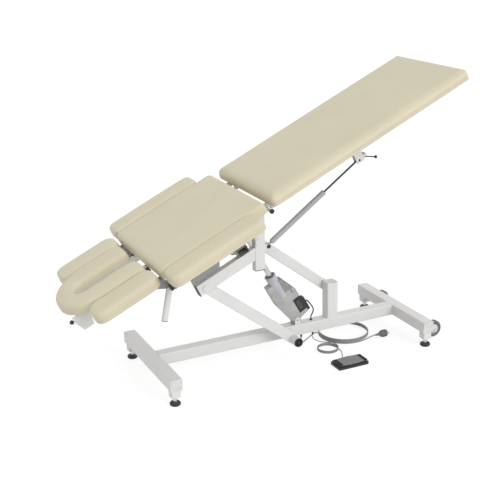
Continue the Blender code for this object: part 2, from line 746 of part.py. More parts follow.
def actuator_bracket():
    """Two lugs that stand on the spine and the pin that joins them."""
    lugs = Solid()
    outline = [(ACTUATOR_FOOT_X - ACTUATOR_LUG_RADIUS, BASE_TOP + GAP),
               (ACTUATOR_FOOT_X + ACTUATOR_LUG_RADIUS, BASE_TOP + GAP)]
    outline += arc_points((ACTUATOR_FOOT_X, ACTUATOR_FOOT_Z), ACTUATOR_LUG_RADIUS, 0, 180, 10)
    outer = ACTUATOR_LUG_GAP + ACTUATOR_LUG_THICKNESS
    lugs.plate(outline, -outer, -ACTUATOR_LUG_GAP)
    lugs.plate(outline, ACTUATOR_LUG_GAP, outer)
    lugs.rod((ACTUATOR_FOOT_X, -outer - GAP, ACTUATOR_FOOT_Z),
             (ACTUATOR_FOOT_X, outer + GAP, ACTUATOR_FOOT_Z),
             ACTUATOR_PIN_RADIUS, sides=SMALL_SIDES)
    piece("actuator_bracket", ROOT, WHITE, lugs)


# Lift linkage

def arm(name, start, y, hub=None):
    """A flat arm with round ends; hub is the far end of a side tube on its lower pivot."""
    line = frame_between(name + "_line", start, start + ARM_VECTOR)
    low, high = span(y, ARM_WIDTH / 2)
    radius = ARM_DEPTH / 2
    body = Solid().box((0, low, -radius), (ARM_LENGTH, high, radius), BAR_CORNER)
    bore = ARM_PIN_RADIUS + GAP
    for x in (0, ARM_LENGTH):
        body.rod((x, low + GAP, 0), (x, high - GAP, 0), radius - GAP, sides=LARGE_SIDES)
    if hub:
        body.rod((0, -SPINE_WIDTH / 2 - GAP, 0), (0, hub, 0), HUB_RADIUS, sides=LARGE_SIDES)
    cut = Solid().rod((ARM_LENGTH, low - OVERRUN, 0), (ARM_LENGTH, high + OVERRUN, 0), bore)
    cut.rod((0, (hub or low) - OVERRUN, 0), (0, high + SPINE_WIDTH, 0), bore)
    inset = ARM_PIN_RADIUS / 3
    cut.box((inset, low + ARM_WALL, -radius + ARM_WALL),
            (ARM_LENGTH - inset, high - ARM_WALL, radius - ARM_WALL))
    return piece(name, line, WHITE, body, cut=cut)


def arms():
    arm("lower_arm", LOWER_PIVOT, LOWER_ARM_Y, hub=HUB_OUTER_Y)
    arm("upper_arm", POST_PIVOT, UPPER_ARM_Y)
    start = HUB_OUTER_Y - GAP
    rim = HUB_CAP_RADIUS - HUB_CAP_RIM
    profile = ((0, 0), (0, HUB_CAP_RADIUS), (HUB_CAP_THICKNESS, HUB_CAP_RADIUS), (HUB_CAP_THICKNESS, rim),
               (HUB_CAP_THICKNESS - HUB_CAP_DISH, rim), (HUB_CAP_THICKNESS - HUB_CAP_DISH, rim / 2),
               (HUB_CAP_THICKNESS, rim / 2), (HUB_CAP_THICKNESS, 0))
    cap = Solid().turned((LOWER_PIVOT_X, start, LOWER_PIVOT_Z), (0, -1, 0), profile)
    piece("lower_arm_cap", ROOT, BLACK, cap, origin=(LOWER_PIVOT_X, start, LOWER_PIVOT_Z))


# Lift frame

def column(side_name, side):
    """An upright of the lift frame, with the head that holds the hinge shaft."""
    low, high = span(side * SIDE_TUBE_Y, SIDE_TUBE_WIDTH / 2)
    left, right = span(COLUMN_X, COLUMN_WIDTH / 2)
    hinge = HINGE_POINT
    bottom = COLUMN_BOTTOM - END_CAP
    body = Solid().box((left, low, bottom), (right, high, COLUMN_TOP), BAR_CORNER, along=2)
    half = LUG_RADIUS - GAP
    body.box((hinge.x - half, low + GAP, COLUMN_TOP - OVERRUN), (hinge.x + half, high - GAP, hinge.z))
    body.rod((hinge.x, low, hinge.z), (hinge.x, high, hinge.z), LUG_RADIUS)
    cut = Solid().rod((hinge.x, low - OVERRUN, hinge.z), (hinge.x, high + OVERRUN, hinge.z),
                      HINGE_SHAFT_RADIUS + GAP, sides=SMALL_SIDES)
    cut.rod((FRAME_UPPER_PIVOT.x, low - OVERRUN, FRAME_UPPER_PIVOT.z),
            (FRAME_UPPER_PIVOT.x, high + OVERRUN, FRAME_UPPER_PIVOT.z), ARM_PIN_RADIUS + GAP)
    cut.box((left + BAR_WALL, low + BAR_WALL, COLUMN_BOTTOM),
            (right - BAR_WALL, high - BAR_WALL, COLUMN_TOP - BAR_WALL))
    if side == NEAR:
        add_spring_lugs(body, right)
    piece("column_" + side_name, ROOT, WHITE, body, cut=cut)


def add_spring_lugs(body, face):
    """Two ears on the near column and the gas spring's lower pin between them."""
    start = face - BAR_WALL / 2
    outline = [(start, SPRING_FOOT.z - SPRING_LUG_RADIUS)]
    outline += arc_points((SPRING_FOOT.x, SPRING_FOOT.z), SPRING_LUG_RADIUS, -90, 90, 8)
    outline.append((start, SPRING_FOOT.z + SPRING_LUG_RADIUS))
    reach = SPRING_LUG_GAP + SPRING_LUG_THICKNESS
    for side in (-1, 1):
        low, high = sorted((SPRING_Y + side * SPRING_LUG_GAP, SPRING_Y + side * reach))
        body.plate(outline, low, high)
    headed_pin(body, SPRING_FOOT, reach - GAP, SPRING_PIN_RADIUS, SPRING_CAP, SPRING_CAP_RADIUS)


def diagonal(side_name, side):
    """A slanted tube below the top, capped at its left end and cut upright at the column."""
    face = COLUMN_X - COLUMN_WIDTH / 2 - GAP
    half = DIAGONAL_DEPTH / 2
    reach = DIAGONAL_END + ARM_LENGTH
    low, high = span(side * SIDE_TUBE_Y, SIDE_TUBE_WIDTH / 2)
    body = Solid().box((DIAGONAL_END - END_CAP, low, DIAGONAL_AXIS - half),
                       (reach, high, DIAGONAL_AXIS + half), BAR_CORNER)
    cut = Solid().box((DIAGONAL_END, low + BAR_WALL, DIAGONAL_AXIS - half + BAR_WALL),
                      (reach + OVERRUN, high - BAR_WALL, DIAGONAL_AXIS + half - BAR_WALL))
    body.moved(TOP_PLACE)
    cut.moved(TOP_PLACE)
    cut.box((face, low - OVERRUN, 0), (face + ARM_LENGTH, high + OVERRUN, HINGE_POINT.z))
    cut.rod((FRAME_LOWER_PIVOT.x, low - OVERRUN, FRAME_LOWER_PIVOT.z),
            (FRAME_LOWER_PIVOT.x, high + OVERRUN, FRAME_LOWER_PIVOT.z), ARM_PIN_RADIUS + GAP)
    piece("diagonal_" + side_name, ROOT, WHITE, body, cut=cut)


def lift_cross_tube():
    """A square tube laid across the two diagonals."""
    half = SIDE_TUBE_Y + SIDE_TUBE_WIDTH / 2
    low = (CROSS_TUBE_END - CROSS_TUBE_LENGTH, -half, DIAGONAL_TOP + GAP)
    high = (CROSS_TUBE_END, half, DIAGONAL_TOP + GAP + CROSS_TUBE_DEPTH)
    piece("lift_cross_tube", TOP, GREY, Solid().box(low, high, BAR_CORNER, along=1),
          cut=Solid().cross_tube(low, high, 1))


def seat_rest():
    """Two plates, a flat bar over them and the stubs that carry the rubber buffers."""
    rest = Solid().box((SEAT_BAR_START, -SEAT_BAR_HALF, SEAT_PLATE_TOP),
                       (SEAT_BAR_START + SEAT_BAR_LENGTH, SEAT_BAR_HALF, SEAT_BAR_TOP))
    bottom = DIAGONAL_TOP + GAP
    outline = [(SEAT_PLATE_END, bottom), (SEAT_PLATE_START - SEAT_PLATE_SKEW, bottom),
               (SEAT_PLATE_START, SEAT_PLATE_TOP + GAP), (SEAT_PLATE_END, SEAT_PLATE_TOP + GAP)]
    for side in (NEAR, FAR):
        low, high = span(side * SIDE_TUBE_Y, SEAT_PLATE_THICKNESS / 2)
        rest.plate(outline, low, high)
        y = side * (RAIL_Y - GAP)
        top = RAIL_BOTTOM - GAP - BUFFER_HEIGHT
        rest.rod((SEAT_STUB_ALONG, y, SEAT_PLATE_TOP + GAP), (SEAT_STUB_ALONG, y, top + OVERRUN),
                 SEAT_STUB_RADIUS)
        rest.rod((SEAT_STUB_ALONG, y, top), (SEAT_STUB_ALONG, y, RAIL_BOTTOM - GAP), BUFFER_RADIUS)
    piece("seat_rest", TOP, GREY, rest)


def lift_shafts():
    """The two pins that join arms and frame, and the hinge shaft of the top."""
    reach = SIDE_TUBE_Y + SIDE_TUBE_WIDTH / 2 + GAP
    for name, pivot in (("arm_shaft_lower", FRAME_LOWER_PIVOT), ("arm_shaft_upper", FRAME_UPPER_PIVOT)):
        shaft = Solid()
        headed_pin(shaft, pivot, reach, ARM_PIN_RADIUS, ARM_PIN_HEAD, ARM_PIN_HEAD_RADIUS, ROUND_SIDES)
        piece(name, ROOT, STEEL, shaft, origin=pivot)
    shaft = Solid()
    headed_pin(shaft, HINGE_POINT, HINGE_SHAFT_HALF, HINGE_SHAFT_RADIUS, HINGE_CAP, HINGE_CAP_RADIUS)
    piece("hinge_shaft", ROOT, STEEL, shaft, origin=HINGE_POINT)


# Actuator

def actuator():
    """Motor housing, round cover and rod, along the line from its foot to the upper shaft.

    The line's own Z points down towards the head end, so the housing's back rises along its -Z.
    """
    line = frame_between("actuator_line", ACTUATOR_FOOT, FRAME_UPPER_PIVOT)
    reach = (FRAME_UPPER_PIVOT - ACTUATOR_FOOT).length
    foot = ACTUATOR_MOTOR_DROP / 2 - ACTUATOR_FOOT_INSET
    outline = arc_points((0, 0), foot, 100, 270, 10)
    outline += [(ACTUATOR_BACK_END - foot, -ACTUATOR_MOTOR_DROP), (ACTUATOR_BODY_END, -ACTUATOR_MOTOR_DROP),
                (ACTUATOR_BODY_END, ACTUATOR_BODY_RISE), (ACTUATOR_BACK_END, ACTUATOR_BACK_RISE),
                (CONNECTOR_START, ACTUATOR_BACK_RISE)]
    outline = [(along, -rise) for along, rise in outline]
    housing = Solid().plate(outline, -ACTUATOR_HALF, ACTUATOR_HALF)
    housing.box((CONNECTOR_START, -CONNECTOR_HALF, -ACTUATOR_BACK_RISE - CONNECTOR_RISE),
                (CONNECTOR_END, CONNECTOR_HALF, OVERRUN - ACTUATOR_BACK_RISE))
    bore = ACTUATOR_ROD_RADIUS + RUNNING_GAP
    cut = Solid().rod((ACTUATOR_BORE_START, 0, 0), (ACTUATOR_BODY_END + OVERRUN, 0, 0), bore)
    cut.rod((0, -ACTUATOR_HALF - OVERRUN, 0), (0, ACTUATOR_HALF + OVERRUN, 0), ACTUATOR_PIN_RADIUS + GAP,
            sides=SMALL_SIDES)
    piece("actuator_housing", line, BLACK, housing, cut=cut)
    cover = Solid().rod((ACTUATOR_TUBE_START, 0, 0), (ACTUATOR_TUBE_END, 0, 0), ACTUATOR_TUBE_RADIUS,
                        sides=LARGE_SIDES)
    cover.rod((ACTUATOR_TUBE_END - ACTUATOR_FLANGE, 0, 0), (ACTUATOR_TUBE_END + GAP, 0, 0),
              ACTUATOR_FLANGE_RADIUS, sides=LARGE_SIDES)
    cut = Solid().rod((ACTUATOR_TUBE_START - OVERRUN, 0, 0), (ACTUATOR_TUBE_END + OVERRUN, 0, 0), bore)
    inside = ACTUATOR_HALF + GAP
    cut.box((0, -inside, -2 * ACTUATOR_TUBE_RADIUS),
            (ACTUATOR_BODY_END + GAP, inside, 2 * ACTUATOR_TUBE_RADIUS))
    piece("actuator_sleeve", line, LILAC, cover, cut=cut)
    eye_bore = ARM_PIN_RADIUS + ACTUATOR_EYE_PLAY
    eye = eye_bore + ACTUATOR_EYE_WALL
    rod = Solid().rod((ACTUATOR_ROD_START, 0, 0), (reach, 0, 0), ACTUATOR_ROD_RADIUS)
    rod.rod((reach, -ACTUATOR_EYE_THICKNESS / 2, 0), (reach, ACTUATOR_EYE_THICKNESS / 2, 0), eye)
    cut = Solid().rod((reach, -ACTUATOR_EYE_THICKNESS, 0), (reach, ACTUATOR_EYE_THICKNESS, 0), eye_bore)
    piece("actuator_rod", line, STEEL, rod, cut=cut)


# Leg gas spring and its release lever

def leg_spring():
    head = on_slope(SPRING_HEAD_ALONG, SPRING_Y, SPRING_HEAD_DEEP)
    line = frame_between("leg_spring_line", SPRING_FOOT, head)
    reach = (head - SPRING_FOOT).length
    half = SPRING_EYE_THICKNESS / 2
    body = Solid().turned((0, 0, 0), (1, 0, 0),
                          ((0, 0), (0, SPRING_NECK_RADIUS), (SPRING_CYLINDER_START, SPRING_NECK_RADIUS),
                           (SPRING_CYLINDER_START + OVERRUN, SPRING_CYLINDER_RADIUS),
                           (SPRING_CYLINDER_END, SPRING_CYLINDER_RADIUS), (SPRING_CYLINDER_END, 0)))
    body.rod((0, -half, 0), (0, half, 0), SPRING_EYE_RADIUS, sides=SMALL_SIDES)
    cut = Solid().rod((0, -2 * half, 0), (0, 2 * half, 0), SPRING_PIN_RADIUS + GAP, sides=SMALL_SIDES)
    cut.rod((SPRING_ROD_START - SPRING_ROD_STROKE, 0, 0), (SPRING_CYLINDER_END + OVERRUN, 0, 0),
            SPRING_ROD_RADIUS + GAP, sides=SMALL_SIDES)
    piece("leg_spring_cylinder", line, LILAC, body, cut=cut)
    eye_bore = SPRING_PIN_RADIUS + SPRING_HEAD_PLAY
    rod = Solid().rod((SPRING_ROD_START, 0, 0), (reach, 0, 0), SPRING_ROD_RADIUS, sides=SMALL_SIDES)
    rod.rod((reach, -half, 0), (reach, half, 0), SPRING_HEAD_EYE_RADIUS, sides=ROUND_SIDES)
    cut = Solid().rod((reach, -2 * half, 0), (reach, 2 * half, 0), eye_bore, sides=ROUND_SIDES)
    piece("leg_spring_rod", line, BLACK, rod, cut=cut)


def release_lever():
    """A thin rod with a ball, on an upright pin beside the spring's upper end."""
    hub = Vector((LEVER_ALONG, SPRING_Y, LEVER_DEEP))
    ball = hub + Vector((LEVER_SWEEP, -LEVER_REACH, 0))
    half = LEVER_HUB_THICKNESS / 2
    lever = Solid().rod(hub - Vector((0, 0, half)), hub + Vector((0, 0, half)), LEVER_HUB_RADIUS)
    start = hub + (ball - hub).normalized() * (LEVER_HUB_RADIUS - LEVER_PIN_RADIUS)
    lever.rod(start, ball, LEVER_ROD_RADIUS, sides=SMALL_SIDES)
    tip = (ball - hub).normalized()
    lever.turned(ball - tip * LEVER_BALL_RADIUS, tip, ball_profile(LEVER_BALL_RADIUS), SMALL_SIDES)
    cut = Solid().rod(hub - Vector((0, 0, 2 * half)), hub + Vector((0, 0, 2 * half)), LEVER_PIN_RADIUS + GAP,
                      sides=SMALL_SIDES)
    piece("release_lever", TOP, BLACK, lever, origin=hub, cut=cut)


def ball_profile(radius, steps=7):
    """Distance along and radius of points on a ball, pole to pole."""
    angles = [math.pi * step / steps for step in range(steps + 1)]
    inner = [(radius * (1 - math.cos(angle)), radius * math.sin(angle)) for angle in angles[1:-1]]
    return [(0, 0), *inner, (2 * radius, 0)]


# Cushions

def soft_block(name, low, high, ends, long_edge, plan_corner, pocket=None):
    """A padded slab: crowned top, drawn-in sides, one radius for each end, a flat creased bottom."""
    low = Vector(low)
    high = Vector(high)
    centre = (low + high) / 2
    half = (high - low) / 2
    left_edge, right_edge = ends
    cage = bmesh.new()
    bmesh.ops.create_cube(cage, size=1, matrix=Matrix.Diagonal((*(2 * half), 1)))
    cuts = [(0, -half.x + max(left_edge, plan_corner)), (0, -half.x / 3), (0, half.x / 3),
            (0, half.x - max(right_edge, plan_corner)), (1, -half.y + max(long_edge, plan_corner)), (1, 0),
            (1, half.y - max(long_edge, plan_corner)), (2, 0)]
    for axis, place in cuts:
        point = Vector((0, 0, 0))
        point[axis] = place
        normal = Vector((0, 0, 0))
        normal[axis] = 1
        everything = cage.verts[:] + cage.edges[:] + cage.faces[:]
        bmesh.ops.bisect_plane(cage, geom=everything, plane_co=point, plane_no=normal)
    corner_share = 1 - math.sqrt(0.5)
    crease = cage.edges.layers.float.new("crease_edge")
    for edge in cage.edges:
        flat = all(vert.co.z < -half.z + GAP for vert in edge.verts)
        rim = all(abs(vert.co.x) > half.x - GAP for vert in edge.verts)
        rim = rim or all(abs(vert.co.y) > half.y - GAP for vert in edge.verts)
        if flat and rim:
            edge[crease] = 1
    for vert in cage.verts:
        x, y, z = vert.co
        end = abs(x) > half.x - GAP
        flank = abs(y) > half.y - GAP
        end_edge = left_edge if x < 0 else right_edge
        at_top = z > half.z - GAP
        at_middle = abs(z) < half.z - GAP
        inset_x = 0.0
        inset_y = 0.0
        if end and flank:
            inset_x = inset_y = plan_corner * corner_share
        if end and at_top:
            inset_x = max(inset_x, end_edge * corner_share)
            vert.co.z = half.z - end_edge * corner_share
        if flank and at_top:
            inset_y = max(inset_y, long_edge * corner_share)
            vert.co.z = min(vert.co.z, half.z - long_edge * corner_share)
        if end and at_middle:
            inset_x += SOFT_DRAW
        if flank and at_middle:
            inset_y += SOFT_DRAW
        if at_top and not end and not flank:
            vert.co.z = half.z - SOFT_CROWN * max((x / half.x) ** 2, (y / half.y) ** 2)
        vert.co.x = x - math.copysign(inset_x, x)
        vert.co.y = y - math.copysign(inset_y, y)
    return soft_piece(name, cage, centre, pocket)


def soft_piece(name, cage, origin, pocket=None):
    """A cushion from its cage, smoothed by subdivision and hollowed for its board."""
    bmesh.ops.recalc_face_normals(cage, faces=cage.faces)
    mesh = bpy.data.meshes.new(name)
    cage.to_mesh(mesh)
    cage.free()
    mesh.materials.append(VINYL)
    mesh.shade_smooth()
    part = bpy.data.objects.new(name, mesh)
    TABLE.objects.link(part)
    part.parent = TOP
    part.location = origin
    smooth = part.modifiers.new("soften", "SUBSURF")
    smooth.levels = 1
    smooth.render_levels = 1
    if pocket:
        boolean(part, "DIFFERENCE", merged(pocket.shells), TOP)
    return part


def board_and_pocket(name, start, end, origin):
    """A plywood board sunk in a cushion's underside, and the pocket it lies in."""
    inset = BOARD_INSET
    y = CUSHION_HALF_WIDTH - inset
    top = CUSHION_BOTTOM + BOARD_THICKNESS
    board = Solid().box((start + inset, -y, CUSHION_BOTTOM), (end - inset, y, top))
    piece(name, TOP, PLYWOOD, board, origin=origin)
    return Solid().box((start + inset - GAP, -y - GAP, CUSHION_BOTTOM - OVERRUN),
                       (end - inset + GAP, y + GAP, top + GAP))




def main_cushions():
    """Leg and centre cushions with their boards, the two side pads and the armrests."""
    half = CUSHION_HALF_WIDTH
    pocket = board_and_pocket("leg_board", LEG_START, LEG_END, HINGE)
    soft_block("leg_cushion", (LEG_START, -half, CUSHION_BOTTOM), (LEG_END, half, CUSHION_TOP),
               (LEG_LONG_EDGE, LEG_RIGHT_EDGE), LEG_LONG_EDGE, LEG_RIGHT_EDGE, pocket)
    pocket = board_and_pocket("centre_board", CENTRE_START, CENTRE_END, HINGE)
    soft_block("centre_cushion", (CENTRE_START, -half, CUSHION_BOTTOM), (CENTRE_END, half, CUSHION_TOP),
               (CENTRE_END_EDGE, CENTRE_END_EDGE), LONG_EDGE, LONG_EDGE, pocket)

    def side_cushions(side_name, side):
        low, high = sorted((side * SIDE_INNER, side * SIDE_OUTER))
        soft_block("side_cushion_" + side_name, (SIDE_START, low, CUSHION_BOTTOM),
                   (SIDE_END, high, CUSHION_TOP),
                   (PAD_EDGE, PAD_EDGE), PAD_EDGE, SIDE_CORNER)
        low, high = sorted((side * ARMREST_INNER, side * ARMREST_OUTER))
        soft_block("armrest_cushion_" + side_name, (ARMREST_START, low, ARMREST_BOTTOM),
                   (ARMREST_END, high, CUSHION_TOP - ARMREST_DROP), (PAD_EDGE,
                                                                     PAD_EDGE), PAD_EDGE, ARMREST_CORNER)
    sides(side_cushions)


def head_stations():
    """Inner and outer plan points round the U, from the near arm's end to the far arm's end."""
    straight = (HEAD_START, (HEAD_START + SLOT_ARC_CENTRE) / 2)
    stations = [((along, NEAR * SLOT_HALF_WIDTH), (along, NEAR * HEAD_HALF_WIDTH)) for along in straight]
    inner = arc_points((SLOT_ARC_CENTRE, 0), SLOT_HALF_WIDTH, 270, 90, 6)
    outer = arc_points((HEAD_ARC_CENTRE, 0), HEAD_HALF_WIDTH, 270, 90, 6)
    stations += zip(inner, outer)
    stations += [((along, FAR * SLOT_HALF_WIDTH),
                  (along, FAR * HEAD_HALF_WIDTH)) for along in reversed(straight)]
    return stations


def head_cushion():
    """The U-shaped cushion, lofted round its slot and softened."""
    cage = bmesh.new()
    edge = PAD_EDGE
    share = 1 - math.sqrt(0.5)
    middle = (CUSHION_BOTTOM + CUSHION_TOP) / 2
    shoulder = CUSHION_TOP - edge * share
    rings = []
    stations = head_stations()
    for number, (inner, outer) in enumerate(stations):
        inner = Vector(inner)
        outer = Vector(outer)
        across = (outer - inner).normalized()
        at_end = number in (0, len(stations) - 1)
        top = CUSHION_TOP - (CENTRE_END_EDGE * share if at_end else 0)
        back = Vector((-CENTRE_END_EDGE * share, 0)) if at_end else Vector((0, 0))
        profile = [(inner, CUSHION_BOTTOM), (inner + across * SOFT_DRAW, middle),
                   (inner + across * edge * share + back, min(shoulder, top)),
                   (inner + across * edge * 2 + back, top),
                   (outer - across * edge * 2 + back, top), (outer - across * edge * share + back,
                                                             min(shoulder, top)),
                   (outer - across * SOFT_DRAW, middle), (outer, CUSHION_BOTTOM)]
        rings.append([cage.verts.new((place.x, place.y, deep)) for place, deep in profile])
    crease = cage.edges.layers.float.new("crease_edge")
    for ring, following in zip(rings, rings[1:]):
        for start in range(len(ring)):
            end = (start + 1) % len(ring)
            cage.faces.new((ring[start], ring[end], following[end], following[start]))
        for corner in (0, -1):
            cage.edges.get((ring[corner], following[corner]))[crease] = 1
    for ring in (rings[0], rings[-1]):
        for first in (0, 1, 2):
            last = len(ring) - 1 - first
            cage.faces.new((ring[first], ring[first + 1], ring[last - 1], ring[last]))
        cage.edges.get((ring[0], ring[-1]))[crease] = 1
    soft_piece("head_cushion", cage, (0, 0, 0))


# Frames under the cushions

def tube_frame(name, members, extras, cut, origin):
    """Rails and cross tubes welded together, bored along their length."""
    frame = Solid()
    for low, high, along in members:
        frame.box(low, high)
        cut.cross_tube(low, high, along)
    frame.shells += extras.shells
    piece(name, TOP, WHITE, frame, origin=origin, cut=cut)


def rail_boxes(start, end):
    """The two side rails between two places along the slope."""
    boxes = []
    for side in (NEAR, FAR):
        low, high = span(side * RAIL_Y, RAIL_WIDTH / 2)
        boxes.append(((start, low, RAIL_BOTTOM), (end, high, RAIL_TOP), 0))
    return boxes


def cross_box(along, half, width=CROSS_WIDTH):
    left, right = span(along, width / 2)
    return (left, -half, RAIL_TOP - CROSS_DEPTH), (right, half, RAIL_TOP - GAP), 1


def add_hinge_lugs(lugs, cut, reach, outward):
    """Rounded plates along the rails' outer or inner faces that reach to the hinge shaft."""
    for side in (NEAR, FAR):
        face = RAIL_Y + outward * (RAIL_WIDTH / 2 - RAIL_WALL / 2)
        low, high = sorted((side * face, side * (face + outward * HINGE_LUG_WIDTH)))
        left, right = sorted((reach, 0))
        lugs.box((left, low, -LUG_RADIUS), (right, high, LUG_RADIUS))
        lugs.rod((0, low, 0), (0, high, 0), LUG_RADIUS)
        cut.rod((0, low - OVERRUN, 0), (0, high + OVERRUN, 0), HINGE_SHAFT_RADIUS + GAP, sides=SMALL_SIDES)


def leg_frame():
    """Leg rails with three cross tubes, the hinge lugs and the gas spring's upper bracket."""
    members = rail_boxes(LEG_RAIL_START, LEG_RAIL_END)
    members += [cross_box(along, RAIL_Y) for along in LEG_CROSS_PLACES]
    extras = Solid()
    cut = Solid()
    add_hinge_lugs(extras, cut, LEG_RAIL_START + HINGE_LUG_LAP, 1)
    bottom = SPRING_HEAD_DEEP - SPRING_BRACKET_DROP
    for side in (-1, 1):
        low, high = sorted((SPRING_Y + side * SPRING_LUG_GAP,
                            SPRING_Y + side * (SPRING_LUG_GAP + SPRING_LUG_THICKNESS)))
        extras.box((SPRING_HEAD_ALONG - SPRING_BRACKET_HALF, low, bottom),
                   (LEVER_ALONG - LEVER_BLOCK_HALF, high, RAIL_TOP - CROSS_DEPTH + RAIL_WALL / 2))
    reach = SPRING_LUG_GAP + SPRING_LUG_THICKNESS
    extras.rod((SPRING_HEAD_ALONG, SPRING_Y - reach - GAP, SPRING_HEAD_DEEP),
               (SPRING_HEAD_ALONG, SPRING_Y + reach + GAP,
                SPRING_HEAD_DEEP), SPRING_PIN_RADIUS, sides=SMALL_SIDES)
    block_bottom = LEVER_DEEP + LEVER_HUB_THICKNESS / 2 + GAP
    extras.box((LEVER_ALONG - LEVER_BLOCK_TAIL, SPRING_Y - reach + GAP, block_bottom),
               (LEVER_ALONG + LEVER_BLOCK_HALF, SPRING_Y + reach - GAP, block_bottom + LEVER_BLOCK_HEIGHT))
    under = LEVER_DEEP - LEVER_HUB_THICKNESS / 2 - GAP
    extras.rod((LEVER_ALONG, SPRING_Y, under - LEVER_PIN_HEAD),
               (LEVER_ALONG, SPRING_Y, block_bottom + OVERRUN),
               LEVER_PIN_RADIUS, sides=SMALL_SIDES)
    extras.rod((LEVER_ALONG, SPRING_Y, under - LEVER_PIN_HEAD - GAP), (LEVER_ALONG, SPRING_Y, under),
               2 * LEVER_PIN_RADIUS, sides=SMALL_SIDES)
    tube_frame("leg_frame", members, extras, cut, HINGE)


def centre_frame():
    """Centre rails with their cross tubes, the pads' rods, the head hinge's lugs and the armrest posts."""
    members = rail_boxes(CENTRE_RAIL_START, CENTRE_RAIL_END)
    outer = PAD_ROD_Y - PAD_ROD_RADIUS + PAD_ROD_SEAT
    head_cross = CENTRE_RAIL_START - CROSS_WIDTH / 2 + OVERRUN
    members += [cross_box(head_cross, outer), cross_box(CENTRE_SECOND_CROSS, outer, CROSS_DEPTH)]
    extras = Solid()
    cut = Solid()
    add_hinge_lugs(extras, cut, CENTRE_RAIL_END - HINGE_LUG_LAP, -1)
    left = head_cross - CROSS_WIDTH / 2
    inner = HEAD_RAIL_Y - HEAD_RAIL_WIDTH / 2 - RUNNING_GAP
    top = on_post(0)
    for side in (NEAR, FAR):
        extras.rod((left, side * PAD_ROD_Y, PAD_ROD_DEEP),
                   (CENTRE_SECOND_CROSS + CROSS_DEPTH / 2, side * PAD_ROD_Y, PAD_ROD_DEEP), PAD_ROD_RADIUS,
                   sides=SMALL_SIDES)
        low, high = sorted((side * inner, side * (inner - HEAD_LUG_WIDTH)))
        extras.box((HEAD_HINGE_ALONG, low, HEAD_HINGE_DEEP - LUG_RADIUS),
                   (left + OVERRUN, high, HEAD_HINGE_DEEP + LUG_RADIUS))
        extras.rod((HEAD_HINGE_ALONG, low, HEAD_HINGE_DEEP), (HEAD_HINGE_ALONG, high, HEAD_HINGE_DEEP),
                   LUG_RADIUS)
        shank = HEAD_LUG_WIDTH / 2 + RUNNING_GAP + HEAD_RAIL_WIDTH + 2 * GAP
        extras.turned((HEAD_HINGE_ALONG, side * (inner - HEAD_LUG_WIDTH / 2), HEAD_HINGE_DEEP), (0, side, 0),
                      ((0, 0), (0, HEAD_PIN_RADIUS), (shank, HEAD_PIN_RADIUS), (shank, HEAD_KNOB_RADIUS),
                       (shank + HEAD_KNOB_LENGTH, HEAD_KNOB_RADIUS), (shank + HEAD_KNOB_LENGTH,
                                                                      0)), SMALL_SIDES)
        y = Vector((0, side * ARMREST_Y, 0))
        extras.rod(top + y - POST_DOWN * OVERRUN, on_post(ARMREST_POST_LENGTH + END_CAP) + y,
                   ARMREST_POST_RADIUS)
    tube_frame("centre_frame", members, extras, cut, HINGE)


def on_post(distance):
    """A point down the armrest post's line, in the top's frame at the middle of the table."""
    return Vector((ARMREST_POST_ALONG, 0, RAIL_TOP - CROSS_DEPTH)) + POST_DOWN * distance


def side_carrier(side_name, side):
    """The folding plate under a side pad, with knuckles on the rod."""
    inner = side * PAD_ROD_Y
    top = CUSHION_BOTTOM - GAP
    carrier = Solid()
    cut = Solid()
    low, high = sorted((side * (PAD_ROD_Y + KNUCKLE_RADIUS), side * PAD_PLATE_OUTER))
    reach = KNUCKLE_LENGTH / 2
    carrier.box((KNUCKLE_PLACES[0] - reach, low, top - PAD_PLATE_THICKNESS),
                (KNUCKLE_PLACES[1] + reach, high, top))
    for along in KNUCKLE_PLACES:
        left, right = span(along, reach - OVERRUN)
        carrier.rod((left, inner, PAD_ROD_DEEP), (right, inner, PAD_ROD_DEEP), KNUCKLE_RADIUS)
        near, far = sorted((inner, inner + side * 2 * KNUCKLE_RADIUS))
        carrier.box((left, near, PAD_ROD_DEEP), (right, far, PAD_ROD_DEEP + KNUCKLE_RADIUS - GAP))
        low, high = sorted((inner + side * KNUCKLE_RADIUS, inner + side * 2 * KNUCKLE_RADIUS))
        carrier.box((left, low, PAD_ROD_DEEP), (right, high, top - PAD_PLATE_THICKNESS / 2))
    reach = KNUCKLE_LENGTH
    cut.rod((KNUCKLE_PLACES[0] - reach, inner, PAD_ROD_DEEP),
            (KNUCKLE_PLACES[1] + reach, inner, PAD_ROD_DEEP),
            PAD_ROD_RADIUS + GAP, sides=SMALL_SIDES)
    piece("side_carrier_" + side_name, TOP, GREY, carrier, origin=(0, inner, PAD_ROD_DEEP), cut=cut)


